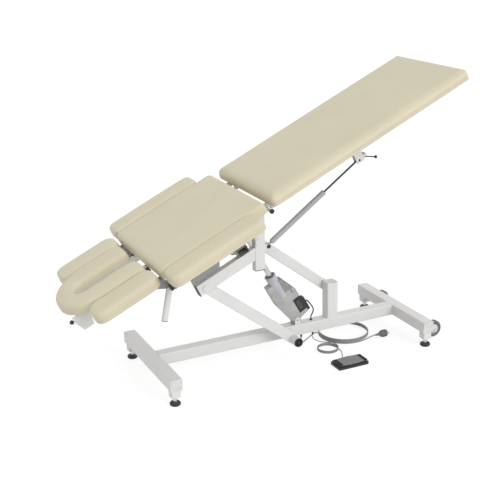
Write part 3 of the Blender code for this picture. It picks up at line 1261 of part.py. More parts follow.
def head_frame():
    """Two head rails, a cross bar at the tip and the near bracket, with round hinge ends."""
    frame = Solid()
    cut = Solid()
    bottom = HEAD_HINGE_DEEP - HEAD_RAIL_DEPTH / 2
    top = HEAD_HINGE_DEEP + HEAD_RAIL_DEPTH / 2
    half = HEAD_RAIL_WIDTH / 2
    for side in (NEAR, FAR):
        low, high = span(side * HEAD_RAIL_Y, half)
        frame.box((HEAD_RAIL_END, low, bottom), (HEAD_HINGE_ALONG, high, top))
        frame.rod((HEAD_HINGE_ALONG, low, HEAD_HINGE_DEEP), (HEAD_HINGE_ALONG, high, HEAD_HINGE_DEEP),
                  LUG_RADIUS)
        cut.rod((HEAD_HINGE_ALONG, low - OVERRUN, HEAD_HINGE_DEEP),
                (HEAD_HINGE_ALONG, high + OVERRUN,
                 HEAD_HINGE_DEEP), HEAD_PIN_RADIUS + GAP, sides=SMALL_SIDES)
    outer = HEAD_RAIL_Y + half
    frame.box((HEAD_RAIL_END + GAP, -outer + GAP, bottom + GAP),
              (HEAD_RAIL_END + HEAD_RAIL_WIDTH, outer - GAP, top - GAP))
    outline = [(BRACKET_START, BRACKET_TOP), (BRACKET_START, BRACKET_KNOB_DEEP - BRACKET_KNOB_RADIUS),
               (BRACKET_START + 2 * BRACKET_KNOB_RADIUS, BRACKET_BOTTOM),
               (BRACKET_END - BRACKET_KNOB_RADIUS, BRACKET_BOTTOM), (BRACKET_END, bottom),
               (BRACKET_END, BRACKET_TOP)]
    frame.plate(outline, -outer - BRACKET_THICKNESS, -outer + GAP)
    knob = (BRACKET_START + GAP, -outer - BRACKET_THICKNESS / 2, BRACKET_KNOB_DEEP)
    frame.turned(knob, (-1, 0, 0), ((0, 0), *ball_profile(BRACKET_KNOB_RADIUS)[2:]), SMALL_SIDES)
    piece("head_frame", TOP, WHITE, frame, origin=(HEAD_HINGE_ALONG, 0, HEAD_HINGE_DEEP), cut=cut)

# Armrests

def armrest(side_name, side):
    """The carrier with its collar round the post, and the lobed knob that locks it."""
    y = side * ARMREST_Y
    centre = on_post(COLLAR_START + COLLAR_LENGTH / 2) + Vector((0, y, 0))
    start = centre - POST_DOWN * COLLAR_LENGTH / 2
    end = centre + POST_DOWN * COLLAR_LENGTH / 2
    carrier = Solid().rod(start, end, COLLAR_RADIUS)
    low, high = span(y, CARRIER_WIDTH / 2)
    top = ARMREST_BOTTOM - GAP
    carrier.box((CARRIER_START, low, top - CARRIER_THICKNESS), (CARRIER_END, high, top))
    low, high = span(y, CARRIER_WEB / 2)
    web = [(CARRIER_WEB_END, top - GAP), (CARRIER_WEB_END, top - CARRIER_THICKNESS - OVERRUN),
           (end.x - COLLAR_RADIUS / 2, end.z), (centre.x, centre.z), (CARRIER_END - GAP,
                                                                      top - CARRIER_THICKNESS / 2),
           (CARRIER_END - GAP, top - GAP)]
    carrier.plate(web, low, high)
    bore = ARMREST_POST_RADIUS + RUNNING_GAP
    cut = Solid().rod(start - POST_DOWN * COLLAR_LENGTH, end + POST_DOWN * COLLAR_LENGTH, bore)
    hole = KNOB_STEM_RADIUS + GAP
    cut.rod(centre, centre + Vector((0, side * 2 * COLLAR_RADIUS, 0)), hole, sides=SMALL_SIDES)
    piece("armrest_carrier_" + side_name, TOP, GREY, carrier, origin=centre, cut=cut)
    root = centre + Vector((0, side * (bore + KNOB_STEM_GAP), 0))
    face = COLLAR_RADIUS + KNOB_GAP - bore - KNOB_STEM_GAP
    knob = Solid().rod(root, root + Vector((0, side * (face + OVERRUN), 0)), KNOB_STEM_RADIUS,
                       sides=SMALL_SIDES)
    front = root + Vector((0, side * face, 0))
    back = front + Vector((0, side * KNOB_THICKNESS, 0))
    knob.rod(front, back, KNOB_RADIUS)
    for lobe in range(KNOB_LOBES):
        angle = 2 * math.pi * (lobe + 0.5) / KNOB_LOBES
        out = Vector((math.cos(angle), 0, math.sin(angle))) * KNOB_RADIUS
        inset = Vector((0, side * GAP, 0))
        knob.rod(front + out + inset, back + out - inset, KNOB_LOBE, sides=SMALL_SIDES)
    piece("armrest_knob_" + side_name, TOP, BLACK, knob, origin=centre)


# Foot pedal

def foot_pedal():
    """A flat black base and a grey rocker hinged across its middle."""
    right = PEDAL_LEFT + PEDAL_LENGTH
    back = PEDAL_FRONT + PEDAL_DEPTH
    middle = (PEDAL_LEFT + right) / 2
    base = Solid().box((PEDAL_LEFT, PEDAL_FRONT, 0), (right, back, PEDAL_BASE_HEIGHT), PEDAL_CORNER, along=2)
    front, rear = PEDAL_FRONT + PEDAL_RIM, back - PEDAL_RIM
    base.rod((middle, front, PEDAL_BASE_HEIGHT), (middle, rear, PEDAL_BASE_HEIGHT), PEDAL_RIDGE,
             sides=SMALL_SIDES)
    piece("pedal_base", ROOT, BLACK, base)
    bottom = PEDAL_BASE_HEIGHT + GAP
    edge = bottom + PEDAL_SLOPE_RISE
    top = bottom + PEDAL_ROCKER_RISE
    left, far = PEDAL_LEFT + PEDAL_RIM / 2, right - PEDAL_RIM / 2
    notch = arc_points((middle, PEDAL_BASE_HEIGHT), PEDAL_RIDGE + GAP, 172, 8, 6)
    outline = [(left, edge), *[(x, max(z, bottom)) for x, z in notch], (far, edge),
               (far, top - PEDAL_SLOPE_RISE), (middle, top), (left, top - PEDAL_SLOPE_RISE)]
    rocker = Solid().plate(outline, front, rear)
    piece("pedal_rocker", ROOT, RUBBER, rocker, origin=(middle, (front + rear) / 2, PEDAL_BASE_HEIGHT))


# Cords

def smooth_route(points, spacing):
    """Evenly spaced places on a smooth curve through a route's points."""
    points = [Vector(point) for point in points]
    ends = [2 * points[0] - points[1], *points, 2 * points[-1] - points[-2]]
    fine = []
    steps = 12
    for p0, p1, p2, p3 in zip(ends, ends[1:], ends[2:], ends[3:]):
        for step in range(steps):
            t = step / steps
            bend = p1 * 2 + (p2 - p0) * t + (2 * p0 - 5 * p1 + 4 * p2 - p3) * t ** 2
            fine.append((bend + (3 * p1 - p0 - 3 * p2 + p3) * t ** 3) / 2)
    fine.append(points[-1])
    lengths = [0.0]
    for start, end in zip(fine, fine[1:]):
        lengths.append(lengths[-1] + (end - start).length)
    count = max(2, round(lengths[-1] / spacing))
    places = []
    segment = 0
    for number in range(count + 1):
        target = lengths[-1] * number / count
        while segment < len(lengths) - 2 and lengths[segment + 1] < target:
            segment += 1
        share = (target - lengths[segment]) / (lengths[segment + 1] - lengths[segment])
        places.append(fine[segment].lerp(fine[segment + 1], min(1, max(0, share))))
    return places, lengths[-1]


def tube(name, places, radius, resolution, look=None):
    """A round cord through places, its caps filled."""
    curve = bpy.data.curves.new(name, "CURVE")
    curve.dimensions = "3D"
    curve.bevel_depth = radius
    curve.bevel_resolution = resolution
    curve.use_fill_caps = True
    curve.twist_mode = "Z_UP"
    spline = curve.splines.new("POLY")
    spline.points.add(len(places) - 1)
    for point, place in zip(spline.points, places):
        point.co = (*place, 1)
    curve.materials.append(look or CORD)
    cord = bpy.data.objects.new(name, curve)
    TABLE.objects.link(cord)
    cord.parent = ROOT
    return cord


def free_cord(name, route, radius, look=None):
    """A free stretch along a route chosen by hand, straight for a diameter at its ends."""
    route = [Vector(point) for point in route]
    places, length = smooth_route(route, CORD_STEP * 2 * radius)
    places.insert(1, route[0] + (route[1] - route[0]).normalized() * 2 * radius)
    places.insert(-1, route[-1] + (route[-2] - route[-1]).normalized() * 2 * radius)
    tube(name, places, radius, 2, look)
    return length


def coil(name, centre, turn_radius, start_angle, turns, start_z, rise, cord_radius):
    """A coil of real loops, its ends straight for one diameter; length and least self-gap are measured."""
    count = round(COIL_STEPS * turns)
    places = []
    for step in range(count + 1):
        angle = start_angle + 2 * math.pi * turns * step / count
        z = start_z + rise * step / count
        places.append(Vector((centre[0] + turn_radius * math.cos(angle),
                              centre[1] + turn_radius * math.sin(angle), z)))
    for end, direction in ((0, -1), (-1, 1)):
        angle = start_angle + (0 if end == 0 else 2 * math.pi * turns)
        tangent = Vector((-math.sin(angle), math.cos(angle), 0)) * direction
        tip = places[end] + tangent * 2 * cord_radius
        places.insert(0, tip) if end == 0 else places.append(tip)
    tube(name, places, cord_radius, 1)
    length = sum((after - before).length for before, after in zip(places, places[1:]))
    least = min((places[one] - places[other]).length for one in range(len(places))
                for other in range(one + COIL_STEPS // 2, len(places)))
    print(name, "length", round(length, 3), "m, least gap to itself",
          round((least - 2 * cord_radius) * 1000, 2), "mm")
    return places[0], places[-1], length


def placed(route, low):
    """Route points, those without a height laid on the floor."""
    return [(x, y, low if z is None else z) for x, y, z in route]


def mains_cord():
    """Lead from the spine, coil on the floor, tail and plug."""
    radius = MAINS_RADIUS
    low = radius + CORD_LIFT
    rise = MAINS_PITCH * MAINS_TURNS
    centre = (MAINS_COIL_X, MAINS_COIL_Y)
    start, end, coil_length = coil("power_cord_coil", centre, MAINS_COIL_RADIUS, math.pi, MAINS_TURNS,
                                   low + rise,
                                   -rise, radius)
    gland_end = Vector((MAINS_GLAND_X, 0, BASE_RISE - GAP - GLAND_LENGTH))
    joint = start + Vector((0, GAP, 0))
    route = [gland_end - Vector((0, 0, GAP)), gland_end - Vector((0, 0, MAINS_DROP)),
             *placed(MAINS_FLOOR_ROUTE, low), joint + Vector((0, MAINS_LEAD_IN, 0)), joint]
    lead_length = free_cord("power_cord_lead", route, radius)
    leave = end + Vector((GAP, 0, 0))
    plug = Vector((PLUG_START, end.y, PLUG_CENTRE_Z))
    route = [leave, leave + Vector((MAINS_LEAD_OUT, 0, 0)),
             *((x, end.y, z) for x, z in MAINS_PLUG_ROUTE), plug - Vector((MAINS_LEAD_OUT, 0,
                                                                           0)), plug - Vector((GAP, 0, 0))]
    tail_length = free_cord("power_cord_tail", route, radius)
    body = PLUG_NECK + PLUG_BODY
    profile = ((0, 0), (0, radius * 1.3), (PLUG_NECK, PLUG_RADIUS * 0.42),
               (PLUG_NECK * 1.4, PLUG_RADIUS * 0.85),
               (PLUG_NECK * 1.7, PLUG_RADIUS), (body - PIN_RADIUS, PLUG_RADIUS), (body,
                                                                                  PLUG_RADIUS - PIN_RADIUS),
               (body, 0))
    shape = Solid().turned(plug, (1, 0, 0), profile)
    for side in (NEAR, FAR):
        pin = plug + Vector((body - PIN_RADIUS, side * PIN_HALF_SPAN, 0))
        shape.rod(pin, pin + Vector((PIN_LENGTH, 0, 0)), PIN_RADIUS, sides=SMALL_SIDES)
    piece("mains_plug", ROOT, RUBBER, shape)
    print("mains lead", round(lead_length + coil_length + tail_length, 3), "m in all")


def pedal_cord():
    """Lead from the pedal's back, small coil, and the end that goes up into the spine."""
    radius = PEDAL_CORD_RADIUS
    low = radius + CORD_LIFT
    rise = PEDAL_PITCH * PEDAL_TURNS
    start, end, coil_length = coil("pedal_cord_coil", (PEDAL_COIL_X, PEDAL_COIL_Y), PEDAL_COIL_RADIUS, 0,
                                   PEDAL_TURNS, low, rise, radius)
    pedal_back = PEDAL_FRONT + PEDAL_DEPTH
    outlet = Vector((PEDAL_LEFT + PEDAL_LENGTH / 2, pedal_back + GAP, PEDAL_BASE_HEIGHT / 2))
    joint = start - Vector((0, GAP, 0))
    route = [outlet, outlet + Vector((0, PEDAL_LEAD_IN, 0)),
             *placed(PEDAL_FLOOR_ROUTE, low), joint - Vector((0, PEDAL_LEAD_IN, 0)), joint]
    feed_length = free_cord("pedal_cord_feed", route, radius)
    gland_end = Vector((PEDAL_GLAND_X, 0, BASE_RISE - GAP - GLAND_LENGTH))
    leave = end + Vector((0, GAP, 0))
    route = [leave, leave + Vector((0, PEDAL_LEAD_OUT, 0)),
             *PEDAL_GLAND_ROUTE, gland_end - Vector((0, 0, PEDAL_DROP)),
             gland_end - Vector((0, 0, GAP))]
    tail_length = free_cord("pedal_cord_tail", route, radius)
    print("pedal lead", round(feed_length + coil_length + tail_length, 3), "m in all")


def glands():
    """Tapered strain reliefs under the spine."""
    for name, x, radius in (("mains_gland", MAINS_GLAND_X, MAINS_RADIUS),
                            ("pedal_gland", PEDAL_GLAND_X, PEDAL_CORD_RADIUS)):
        profile = ((0, 0), (0, GLAND_RADIUS), (GLAND_FLANGE, GLAND_RADIUS), (GLAND_FLANGE, GLAND_SHOULDER),
                   (GLAND_LENGTH, radius + GLAND_WALL), (GLAND_LENGTH, 0))
        piece(name, ROOT, BLACK, Solid().turned((x, 0, BASE_RISE - GAP), (0, 0, -1), profile, SMALL_SIDES))


def motor_lead():
    """Black lead from the actuator's connector down to the grommet on the spine."""
    line = bpy.data.objects["actuator_line"]
    bpy.context.view_layer.update()
    middle = (CONNECTOR_START + CONNECTOR_END) / 2
    out = (line.matrix_basis.to_3x3() @ Vector((0, 0, -1))).normalized()
    corner = line.matrix_basis @ Vector((middle, 0, -ACTUATOR_BACK_RISE - CONNECTOR_RISE)) + out * GAP
    grommet = Vector((GROMMET_X, 0, BASE_TOP + GROMMET_HEIGHT + GAP))
    route = [corner, corner + out * LEAD_OUT, LEAD_BEND, grommet + Vector((0, 0, LEAD_DROP)), grommet]
    length = free_cord("motor_lead", route, LEAD_RADIUS, BLACK)
    print("motor lead", round(length, 3), "m")


def centre_on_floor():
    """Move the whole table so that its box, cords left out, stands centred on the origin."""
    bpy.context.view_layer.update()
    graph = bpy.context.evaluated_depsgraph_get()
    cords = ("power_cord", "pedal_cord", "mains_plug")
    lows = []
    highs = []
    for part in TABLE.objects:
        if part.type == "EMPTY" or part.name.startswith(cords):
            continue
        solid = part.evaluated_get(graph)
        mesh = solid.to_mesh()
        places = [solid.matrix_world @ vert.co for vert in mesh.vertices]
        lows.append([min(place[axis] for place in places) for axis in range(3)])
        highs.append([max(place[axis] for place in places) for axis in range(3)])
        solid.to_mesh_clear()
    low = [min(values) for values in zip(*lows)]
    high = [max(values) for values in zip(*highs)]
    ROOT.location = (-(low[0] + high[0]) / 2, -(low[1] + high[1]) / 2, -low[2])
    bpy.context.view_layer.update()
    print("table_origin at", [round(value, 5) for value in ROOT.location],
          "size", [round(b - a, 4) for a, b in zip(low, high)])


def main():
    base_tubes()
    levelling_feet()
    sides(wheel)
    lower_arm_axle()
    actuator_bracket()
    arms()
    sides(column)
    sides(diagonal)
    lift_cross_tube()
    seat_rest()
    lift_shafts()
    actuator()
    leg_spring()
    release_lever()
    main_cushions()
    head_cushion()
    leg_frame()
    centre_frame()
    sides(side_carrier)
    head_frame()
    sides(armrest)
    foot_pedal()
    mains_cord()
    pedal_cord()
    glands()
    motor_lead()
    centre_on_floor()


main()
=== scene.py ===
"""Looks of an electric massage table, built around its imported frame.

X runs along the base towards the leg end, Y across the table away from the near side, Z up from the
floor, in metres. The padded top slopes: places on it are given as (along, across, deep), with along
rising towards the leg end and deep counted square to the cushions.
"""
from __future__ import annotations

import json
import logging
import math
from dataclasses import dataclass
from enum import Enum
from functools import cache, reduce
from operator import mul
from typing import Sequence, Union

import bmesh
import bpy
import numpy as np
from bpy.types import Material, Mesh, Node, NodeSocket, Object
from mathutils import Matrix, Vector

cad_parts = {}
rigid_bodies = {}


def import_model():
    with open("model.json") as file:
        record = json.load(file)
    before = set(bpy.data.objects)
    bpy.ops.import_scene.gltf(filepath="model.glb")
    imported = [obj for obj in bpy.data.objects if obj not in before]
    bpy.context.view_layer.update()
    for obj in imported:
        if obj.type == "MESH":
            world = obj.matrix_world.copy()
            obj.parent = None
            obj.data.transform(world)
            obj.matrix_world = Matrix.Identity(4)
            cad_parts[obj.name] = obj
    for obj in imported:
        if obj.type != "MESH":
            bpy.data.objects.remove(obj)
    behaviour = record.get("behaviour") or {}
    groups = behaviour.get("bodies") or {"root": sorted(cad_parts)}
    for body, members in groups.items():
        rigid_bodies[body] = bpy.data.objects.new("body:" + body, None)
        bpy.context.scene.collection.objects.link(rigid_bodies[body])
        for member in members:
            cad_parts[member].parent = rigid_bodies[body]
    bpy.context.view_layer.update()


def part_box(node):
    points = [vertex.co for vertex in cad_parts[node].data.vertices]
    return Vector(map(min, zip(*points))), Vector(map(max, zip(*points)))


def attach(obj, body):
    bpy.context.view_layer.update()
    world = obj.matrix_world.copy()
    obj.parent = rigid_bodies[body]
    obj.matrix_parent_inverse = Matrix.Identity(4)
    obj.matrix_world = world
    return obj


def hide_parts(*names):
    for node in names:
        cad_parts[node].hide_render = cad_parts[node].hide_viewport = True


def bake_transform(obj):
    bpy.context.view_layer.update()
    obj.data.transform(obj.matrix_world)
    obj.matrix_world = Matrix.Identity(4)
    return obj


LOG = logging.getLogger("massage_table")
SLOPE = math.radians(24.7)
NEAR = -1
FAR = 1
SIDES = (("near", NEAR), ("far", FAR))
WAYS = (-1, 1)
TURN = 2 * math.pi
TINY = 1e-6
UNIT_SHARP = math.radians(35)
FORWARD = Vector((1, 0, 0))
ACROSS = Vector((0, 1, 0))
UP = Vector((0, 0, 1))

Triple = tuple[float, float, float]
Point = Union[Vector, Sequence[float]]
Line = Sequence[Vector]


# Node trees

class NodeTree:
    """The nodes of a material, a world or a repeat."""

    def __init__(self, tree: bpy.types.NodeTree) -> None:
        """Start with no nodes."""
        self.tree = tree
        tree.nodes.clear()

    def add(self, kind: str, inputs: Union[dict, None] = None, **settings: object) -> Node:
        """Add a node: its settings are set first, then its sockets.

        Args:
            kind: Blender's node type.
            inputs: a value, a Number, a socket or a list of them for each input's name or number.
            settings: attributes of the node.

        Returns:
            The node.
        """
        node = self.tree.nodes.new(kind)
        for key, value in settings.items():
            setattr(node, key, value)
        for key, value in (inputs or {}).items():
            for one in value if isinstance(value, list) else [value]:
                self.feed(node.inputs[key], one)
        return node

    def number(self, kind: str, inputs: dict, output: Union[str, int] = 0, **settings: object) -> Number:
        """Add a node and take one of its outputs as a number."""
        return Number(self, self.add(kind, inputs, **settings).outputs[output])

    def feed(self, socket: NodeSocket, value: object) -> None:
        """Link a Number or a socket, or set a plain value.

        Args:
            socket: the input that receives it.
            value: what it receives.
        """
        if isinstance(value, Number):
            value = value.socket
        if isinstance(value, NodeSocket):
            self.tree.links.new(value, socket)
        elif socket.type == "RGBA":
            socket.default_value = (*value, 1)
        else:
            socket.default_value = value

    def unlit(self) -> Number:
        """1 on rays that come from the camera or a mirror, else 0."""
        path = self.add("ShaderNodeLightPath").outputs
        return Number(self, path["Is Camera Ray"]).maths("MAXIMUM", path["Is Glossy Ray"])


class Number:
    """A number that changes over a surface, with Python's operators."""

    def __init__(self, tree: NodeTree, socket: NodeSocket) -> None:
        """Wrap an output socket of a tree."""
        self.tree = tree
        self.socket = socket

    def maths(self, operation: str, *others: NumberLike) -> Number:
        """The result of one Math node, with this number as its first operand."""
        return self.tree.number("ShaderNodeMath", dict(enumerate((self, *others))), operation=operation)

    def __add__(self, other: NumberLike) -> Number:
        """Sum."""
        return self.maths("ADD", other)

    def __sub__(self, other: NumberLike) -> Number:
        """Difference."""
        return self.maths("SUBTRACT", other)

    def __rsub__(self, other: float) -> Number:
        """Difference from a plain number."""
        return (self * -1) + other

    def __mul__(self, other: NumberLike) -> Number:
        """Product."""
        return self.maths("MULTIPLY", other)

    def __abs__(self) -> Number:
        """Size without sign."""
        return self.maths("ABSOLUTE")

    def __gt__(self, limit: NumberLike) -> Number:
        """1 where it is over the limit, else 0."""
        return self.maths("GREATER_THAN", limit)

    def __lt__(self, limit: NumberLike) -> Number:
        """1 where it is under the limit, else 0."""
        return self.maths("LESS_THAN", limit)

    __radd__ = __add__
    __rmul__ = __mul__

    def wave(self) -> Number:
        """Sine."""
        return self.maths("SINE")

    def ramp(self, low: float, high: float) -> Number:
        """Rise smoothly from 0 at low to 1 at high."""
        return self.tree.number("ShaderNodeMapRange", {"Value": self, "From Min": low, "From Max": high}, "Result",
                                interpolation_type="SMOOTHSTEP")


NumberLike = Union[Number, float]


class ShaderTree(NodeTree):
    """The nodes of one material."""

    def __init__(self, name: str) -> None:
        """Start a material with its object coordinates.

        Args:
            name: the material's name.
        """
        self.material = bpy.data.materials.new(name)
        self.material.use_nodes = True
        super().__init__(self.material.node_tree)
        self.place = self.add("ShaderNodeTexCoord").outputs["Object"]

    def stretched(self, scale: Point) -> NodeSocket:
        """Object coordinates with one scale for each axis."""
        return self.add("ShaderNodeMapping", {"Vector": self.place, "Scale": scale}).outputs[0]

    def noise(self, scale: float, detail: float = 3, stretch: Point = (1, 1, 1)) -> Number:
        """Soft random values round 0.5, with so many features for each metre and finer layers."""
        return self.number("ShaderNodeTexNoise",
                           {"Vector": self.stretched(stretch), "Scale": scale, "Detail": detail})

    def cells(self, scale: float) -> Number:
        """Distance pattern of random cells, so many for each metre."""
        return self.number("ShaderNodeTexVoronoi", {"Vector": self.stretched((1, 1, 1)), "Scale": scale},
                           "Distance", feature="SMOOTH_F1")

    def along(self, direction: Point) -> Number:
        """How far a point of the surface lies along a direction."""
        return self.number("ShaderNodeVectorMath", {0: self.place, 1: direction}, "Value",
                           operation="DOT_PRODUCT")

    def tinted(self, mask: NumberLike, first: object, second: object) -> NodeSocket:
        """Mix two colours or colour sockets: 0 in the mask for the first, 1 for the second."""
        return self.add("ShaderNodeMix", {0: mask, 6: first, 7: second}, data_type="RGBA").outputs[2]


# Finishes

DUST = (0.46, 0.44, 0.40)
FLOOR_DUST = (0.40, 0.39, 0.37)


@dataclass
class Layers:
    """What a finish gives the shader: its colour, roughness and bump height, and whether it is metal."""

    colour: object
    roughness: NumberLike
    height: NumberLike
    metallic: NumberLike = 0.0


def shade(colour: Triple, factor: float, lift: float = 0.0) -> Triple:
    """A colour made darker or lighter."""
    return tuple(min(1.0, channel * factor + lift) for channel in colour)


def mixed(mask: Number, first: NumberLike, second: NumberLike) -> NumberLike:
    """A number between two, by a mask."""
    same = isinstance(first, float) and first == second
    return first if same else mask * second + (1 - mask) * first


@dataclass(frozen=True)
class Finish:
    """What all finishes have: a name, a colour, and sockets that are the same all over."""

    name: str
    colour: Triple
    roughness: float
    fixed: tuple[tuple[str, float], ...] = ()

    def layers(self, tree: ShaderTree) -> Layers:
        """What this kind of finish shows, in a material's nodes."""
        raise NotImplementedError

    def shades(self, tree: ShaderTree, mask: Number, dark: float, light: float) -> NodeSocket:
        """The finish's colour, dark where the mask is 0 and light where it is 1."""
        return tree.tinted(mask, shade(self.colour, dark), shade(self.colour, light))

    def material(self, name: str, zones: Sequence[Zone] = ()) -> Material:
        """Make the material, with other finishes on parts of the piece.

        Args:
            name: the material's name.
            zones: where another finish shows.

        Returns:
            The material.
        """
        tree = ShaderTree(name)
        made = self.layers(tree)
        for zone in zones:
            mask = zone.mask(tree)
            other = zone.finish.layers(tree)
            made = Layers(tree.tinted(mask, made.colour, other.colour),
                          *(mixed(mask, getattr(made, part), getattr(other, part))
                            for part in ("roughness", "height", "metallic")))
        bump = tree.add("ShaderNodeBump", {"Height": made.height, "Distance": 1.0, "Strength": 1.0})
        shader = tree.add("ShaderNodeBsdfPrincipled",
                          {"Base Color": made.colour, "Roughness": made.roughness, "Metallic": made.metallic,
                           "Normal": bump.outputs[0], **dict(self.fixed)})
        tree.add("ShaderNodeOutputMaterial", {"Surface": shader.outputs[0]})
        return tree.material


@dataclass(frozen=True)
class PowderCoat(Finish):
    """Baked paint on steel tube: orange peel, rubbed patches, a little dust low down."""

    peel_height: float = 0.00008
    dust_height: float = 0.25

    def layers(self, tree: ShaderTree) -> Layers:
        """Orange peel, dust and rubbed patches.

        Args:
            tree: the material's nodes.

        Returns:
            The paint's layers.
        """
        cloud = tree.noise(5, 4)
        dust = (1 - tree.along(UP).ramp(0.0, self.dust_height)) * cloud.ramp(0.35, 0.7)
        clean = self.shades(tree, cloud.ramp(0.3, 0.7), 0.975, 1.015)
        rub = tree.noise(38, 2, (1, 1, 3)).ramp(0.55, 0.8)
        peel = tree.noise(420, 2) * self.peel_height + tree.noise(2600, 1) * 0.00001
        return Layers(tree.tinted(dust * 0.16, clean, DUST), rub * 0.12 + dust * 0.15 + self.roughness,
                      peel)


@dataclass(frozen=True)
class Vinyl(Finish):
    """Upholstery vinyl: pebbled grain, fine pores, faint pulls where it is stretched."""

    def layers(self, tree: ShaderTree) -> Layers:
        """Pebbles, pores, pulls and handling marks.

        Args:
            tree: the material's nodes.

        Returns:
            The vinyl's layers.
        """
        pebbles = tree.cells(520)
        pores = tree.noise(1500, 2).ramp(0.45, 0.7)
        pulls = tree.noise(26, 3, (1, 0.35, 1)) * 0.0011
        worn = tree.noise(11).ramp(0.52, 0.74)
        base = self.shades(tree, tree.noise(3.2, 4).ramp(0.3, 0.72), 0.965, 1.02)
        grained = tree.tinted(pebbles.ramp(0.25, 0.75) * 0.35, base, shade(self.colour, 0.86))
        return Layers(grained, worn * 0.09 + pebbles * 0.12 + (self.roughness - 0.05),
                      (1 - pebbles) * 0.00016 - pores * 0.00003 + pulls)


@dataclass(frozen=True)
class Moulded(Finish):
    """Moulded plastic with a spark-eroded skin."""

    def layers(self, tree: ShaderTree) -> Layers:
        """Speckled skin, flow clouds and scuffs.

        Args:
            tree: the material's nodes.

        Returns:
            The plastic's layers.
        """
        skin = tree.noise(900, 2)
        scuff = tree.noise(90, 4, (1, 8, 8)).ramp(0.62, 0.78)
        colour = self.shades(tree, tree.noise(14, 2, (1, 3, 1)).ramp(0.3, 0.7), 0.93, 1.08)
        return Layers(tree.tinted(scuff * 0.18, colour, shade(self.colour, 0.5, 0.12)),
                      skin * 0.16 + scuff * 0.12 + (self.roughness - 0.08), skin * 0.00009)


@dataclass(frozen=True)
class Rubber(Finish):
    """Matt rubber with mould bloom and fine grit."""

    def layers(self, tree: ShaderTree) -> Layers:
        """Bloom and grit.

        Args:
            tree: the material's nodes.

        Returns:
            The rubber's layers.
        """
        bloom = tree.noise(22, 4).ramp(0.42, 0.75)
        grit = tree.noise(1300, 2)
        return Layers(tree.tinted(bloom * 0.4, self.colour, shade(self.colour, 0.75, 0.07)),
                      grit * 0.15 + bloom * 0.08 + (self.roughness - 0.1), grit * 0.00008)


@dataclass(frozen=True)
class TurnedSteel(Finish):
    """Ground or turned bright steel: fine rings across the table's width and a few smears."""

    def layers(self, tree: ShaderTree) -> Layers:
        """Tool marks and smears.

        Args:
            tree: the material's nodes.

        Returns:
            The steel's layers.
        """
        rings = (tree.along(ACROSS) * 5200 + tree.noise(60) * 9).wave()
        smear = tree.noise(45).ramp(0.45, 0.75)
        return Layers(tree.tinted(smear * 0.5, self.colour, shade(self.colour, 0.82)),
                      smear * 0.14 + (self.roughness + 0.02 * rings), rings * 0.000004, 1.0)


@dataclass(frozen=True)
class Plywood(Finish):
    """Birch plywood: long grain on its faces, stacked plies on its edges."""

    def layers(self, tree: ShaderTree) -> Layers:
        """Grain, plies and pores.

        Args:
            tree: the material's nodes.

        Returns:
            The wood's layers.
        """
        plies_per_metre = 420
        deep = tree.along((-math.sin(SLOPE), 0, math.cos(SLOPE)))
        ply = (deep * (TURN * plies_per_metre)).wave().ramp(-0.4, 0.4)
        grain = tree.noise(60, 5, (1, 22, 1))
        pores = tree.noise(420, 2, (0.1, 3, 1)).ramp(0.6, 0.72)
        face = self.shades(tree, grain.ramp(0.35, 0.7), 0.82, 1.14)
        return Layers(tree.tinted(ply * 0.35, face, shade(self.colour, 0.6)), grain * 0.15 + (self.roughness - 0.08),
                      grain * 0.0002 - pores * 0.0001)


@dataclass(frozen=True)
class Sheath(Finish):
    """Soft cable sheath with faint draw lines and floor dust."""

    def layers(self, tree: ShaderTree) -> Layers:
        """Draw lines and dust."""
        dust = tree.noise(70).ramp(0.45, 0.8)
        return Layers(tree.tinted(dust * 0.35, self.colour, FLOOR_DUST),
                      dust * 0.2 + (self.roughness - 0.05), tree.noise(1800, 2) * 0.00005)


@dataclass(frozen=True)
class Test:
    """One condition of a zone: past a plane, or between the plane and its mirror image."""

    direction: Point
    limit: float
    centre: Point = (0, 0, 0)
    mirrored: bool = False
    within: bool = False

    def mask(self, tree: ShaderTree) -> Number:
        """1 where the condition holds.

        Args:
            tree: the material's nodes.

        Returns:
            The mask.
        """
        reach = tree.along(self.direction) - Vector(self.centre).dot(Vector(self.direction))
        size = abs(reach) if self.mirrored else reach
        return size < self.limit if self.within else size > self.limit


class Round(Test):
    """One condition of a zone: nearer than the limit to a line through the centre."""

    def mask(self, tree: ShaderTree) -> Number:
        """1 where the condition holds.

        Args:
            tree: the material's nodes.

        Returns:
            The mask.
        """
        kind = "ShaderNodeVectorMath"
        apart = tree.add(kind, {0: tree.place, 1: self.centre}, operation="SUBTRACT").outputs[0]
        turned = tree.add(kind, {0: apart, 1: self.direction}, operation="CROSS_PRODUCT").outputs[0]
        return tree.number(kind, {0: turned}, "Value", operation="LENGTH") < self.limit


@dataclass(frozen=True)
class Zone:
    """Where a piece wears another finish: all its tests hold there."""

    finish: Finish
    tests: tuple[Test, ...]

    def mask(self, tree: ShaderTree) -> Number:
        """1 in the zone."""
        return reduce(mul, (test.mask(tree) for test in self.tests))


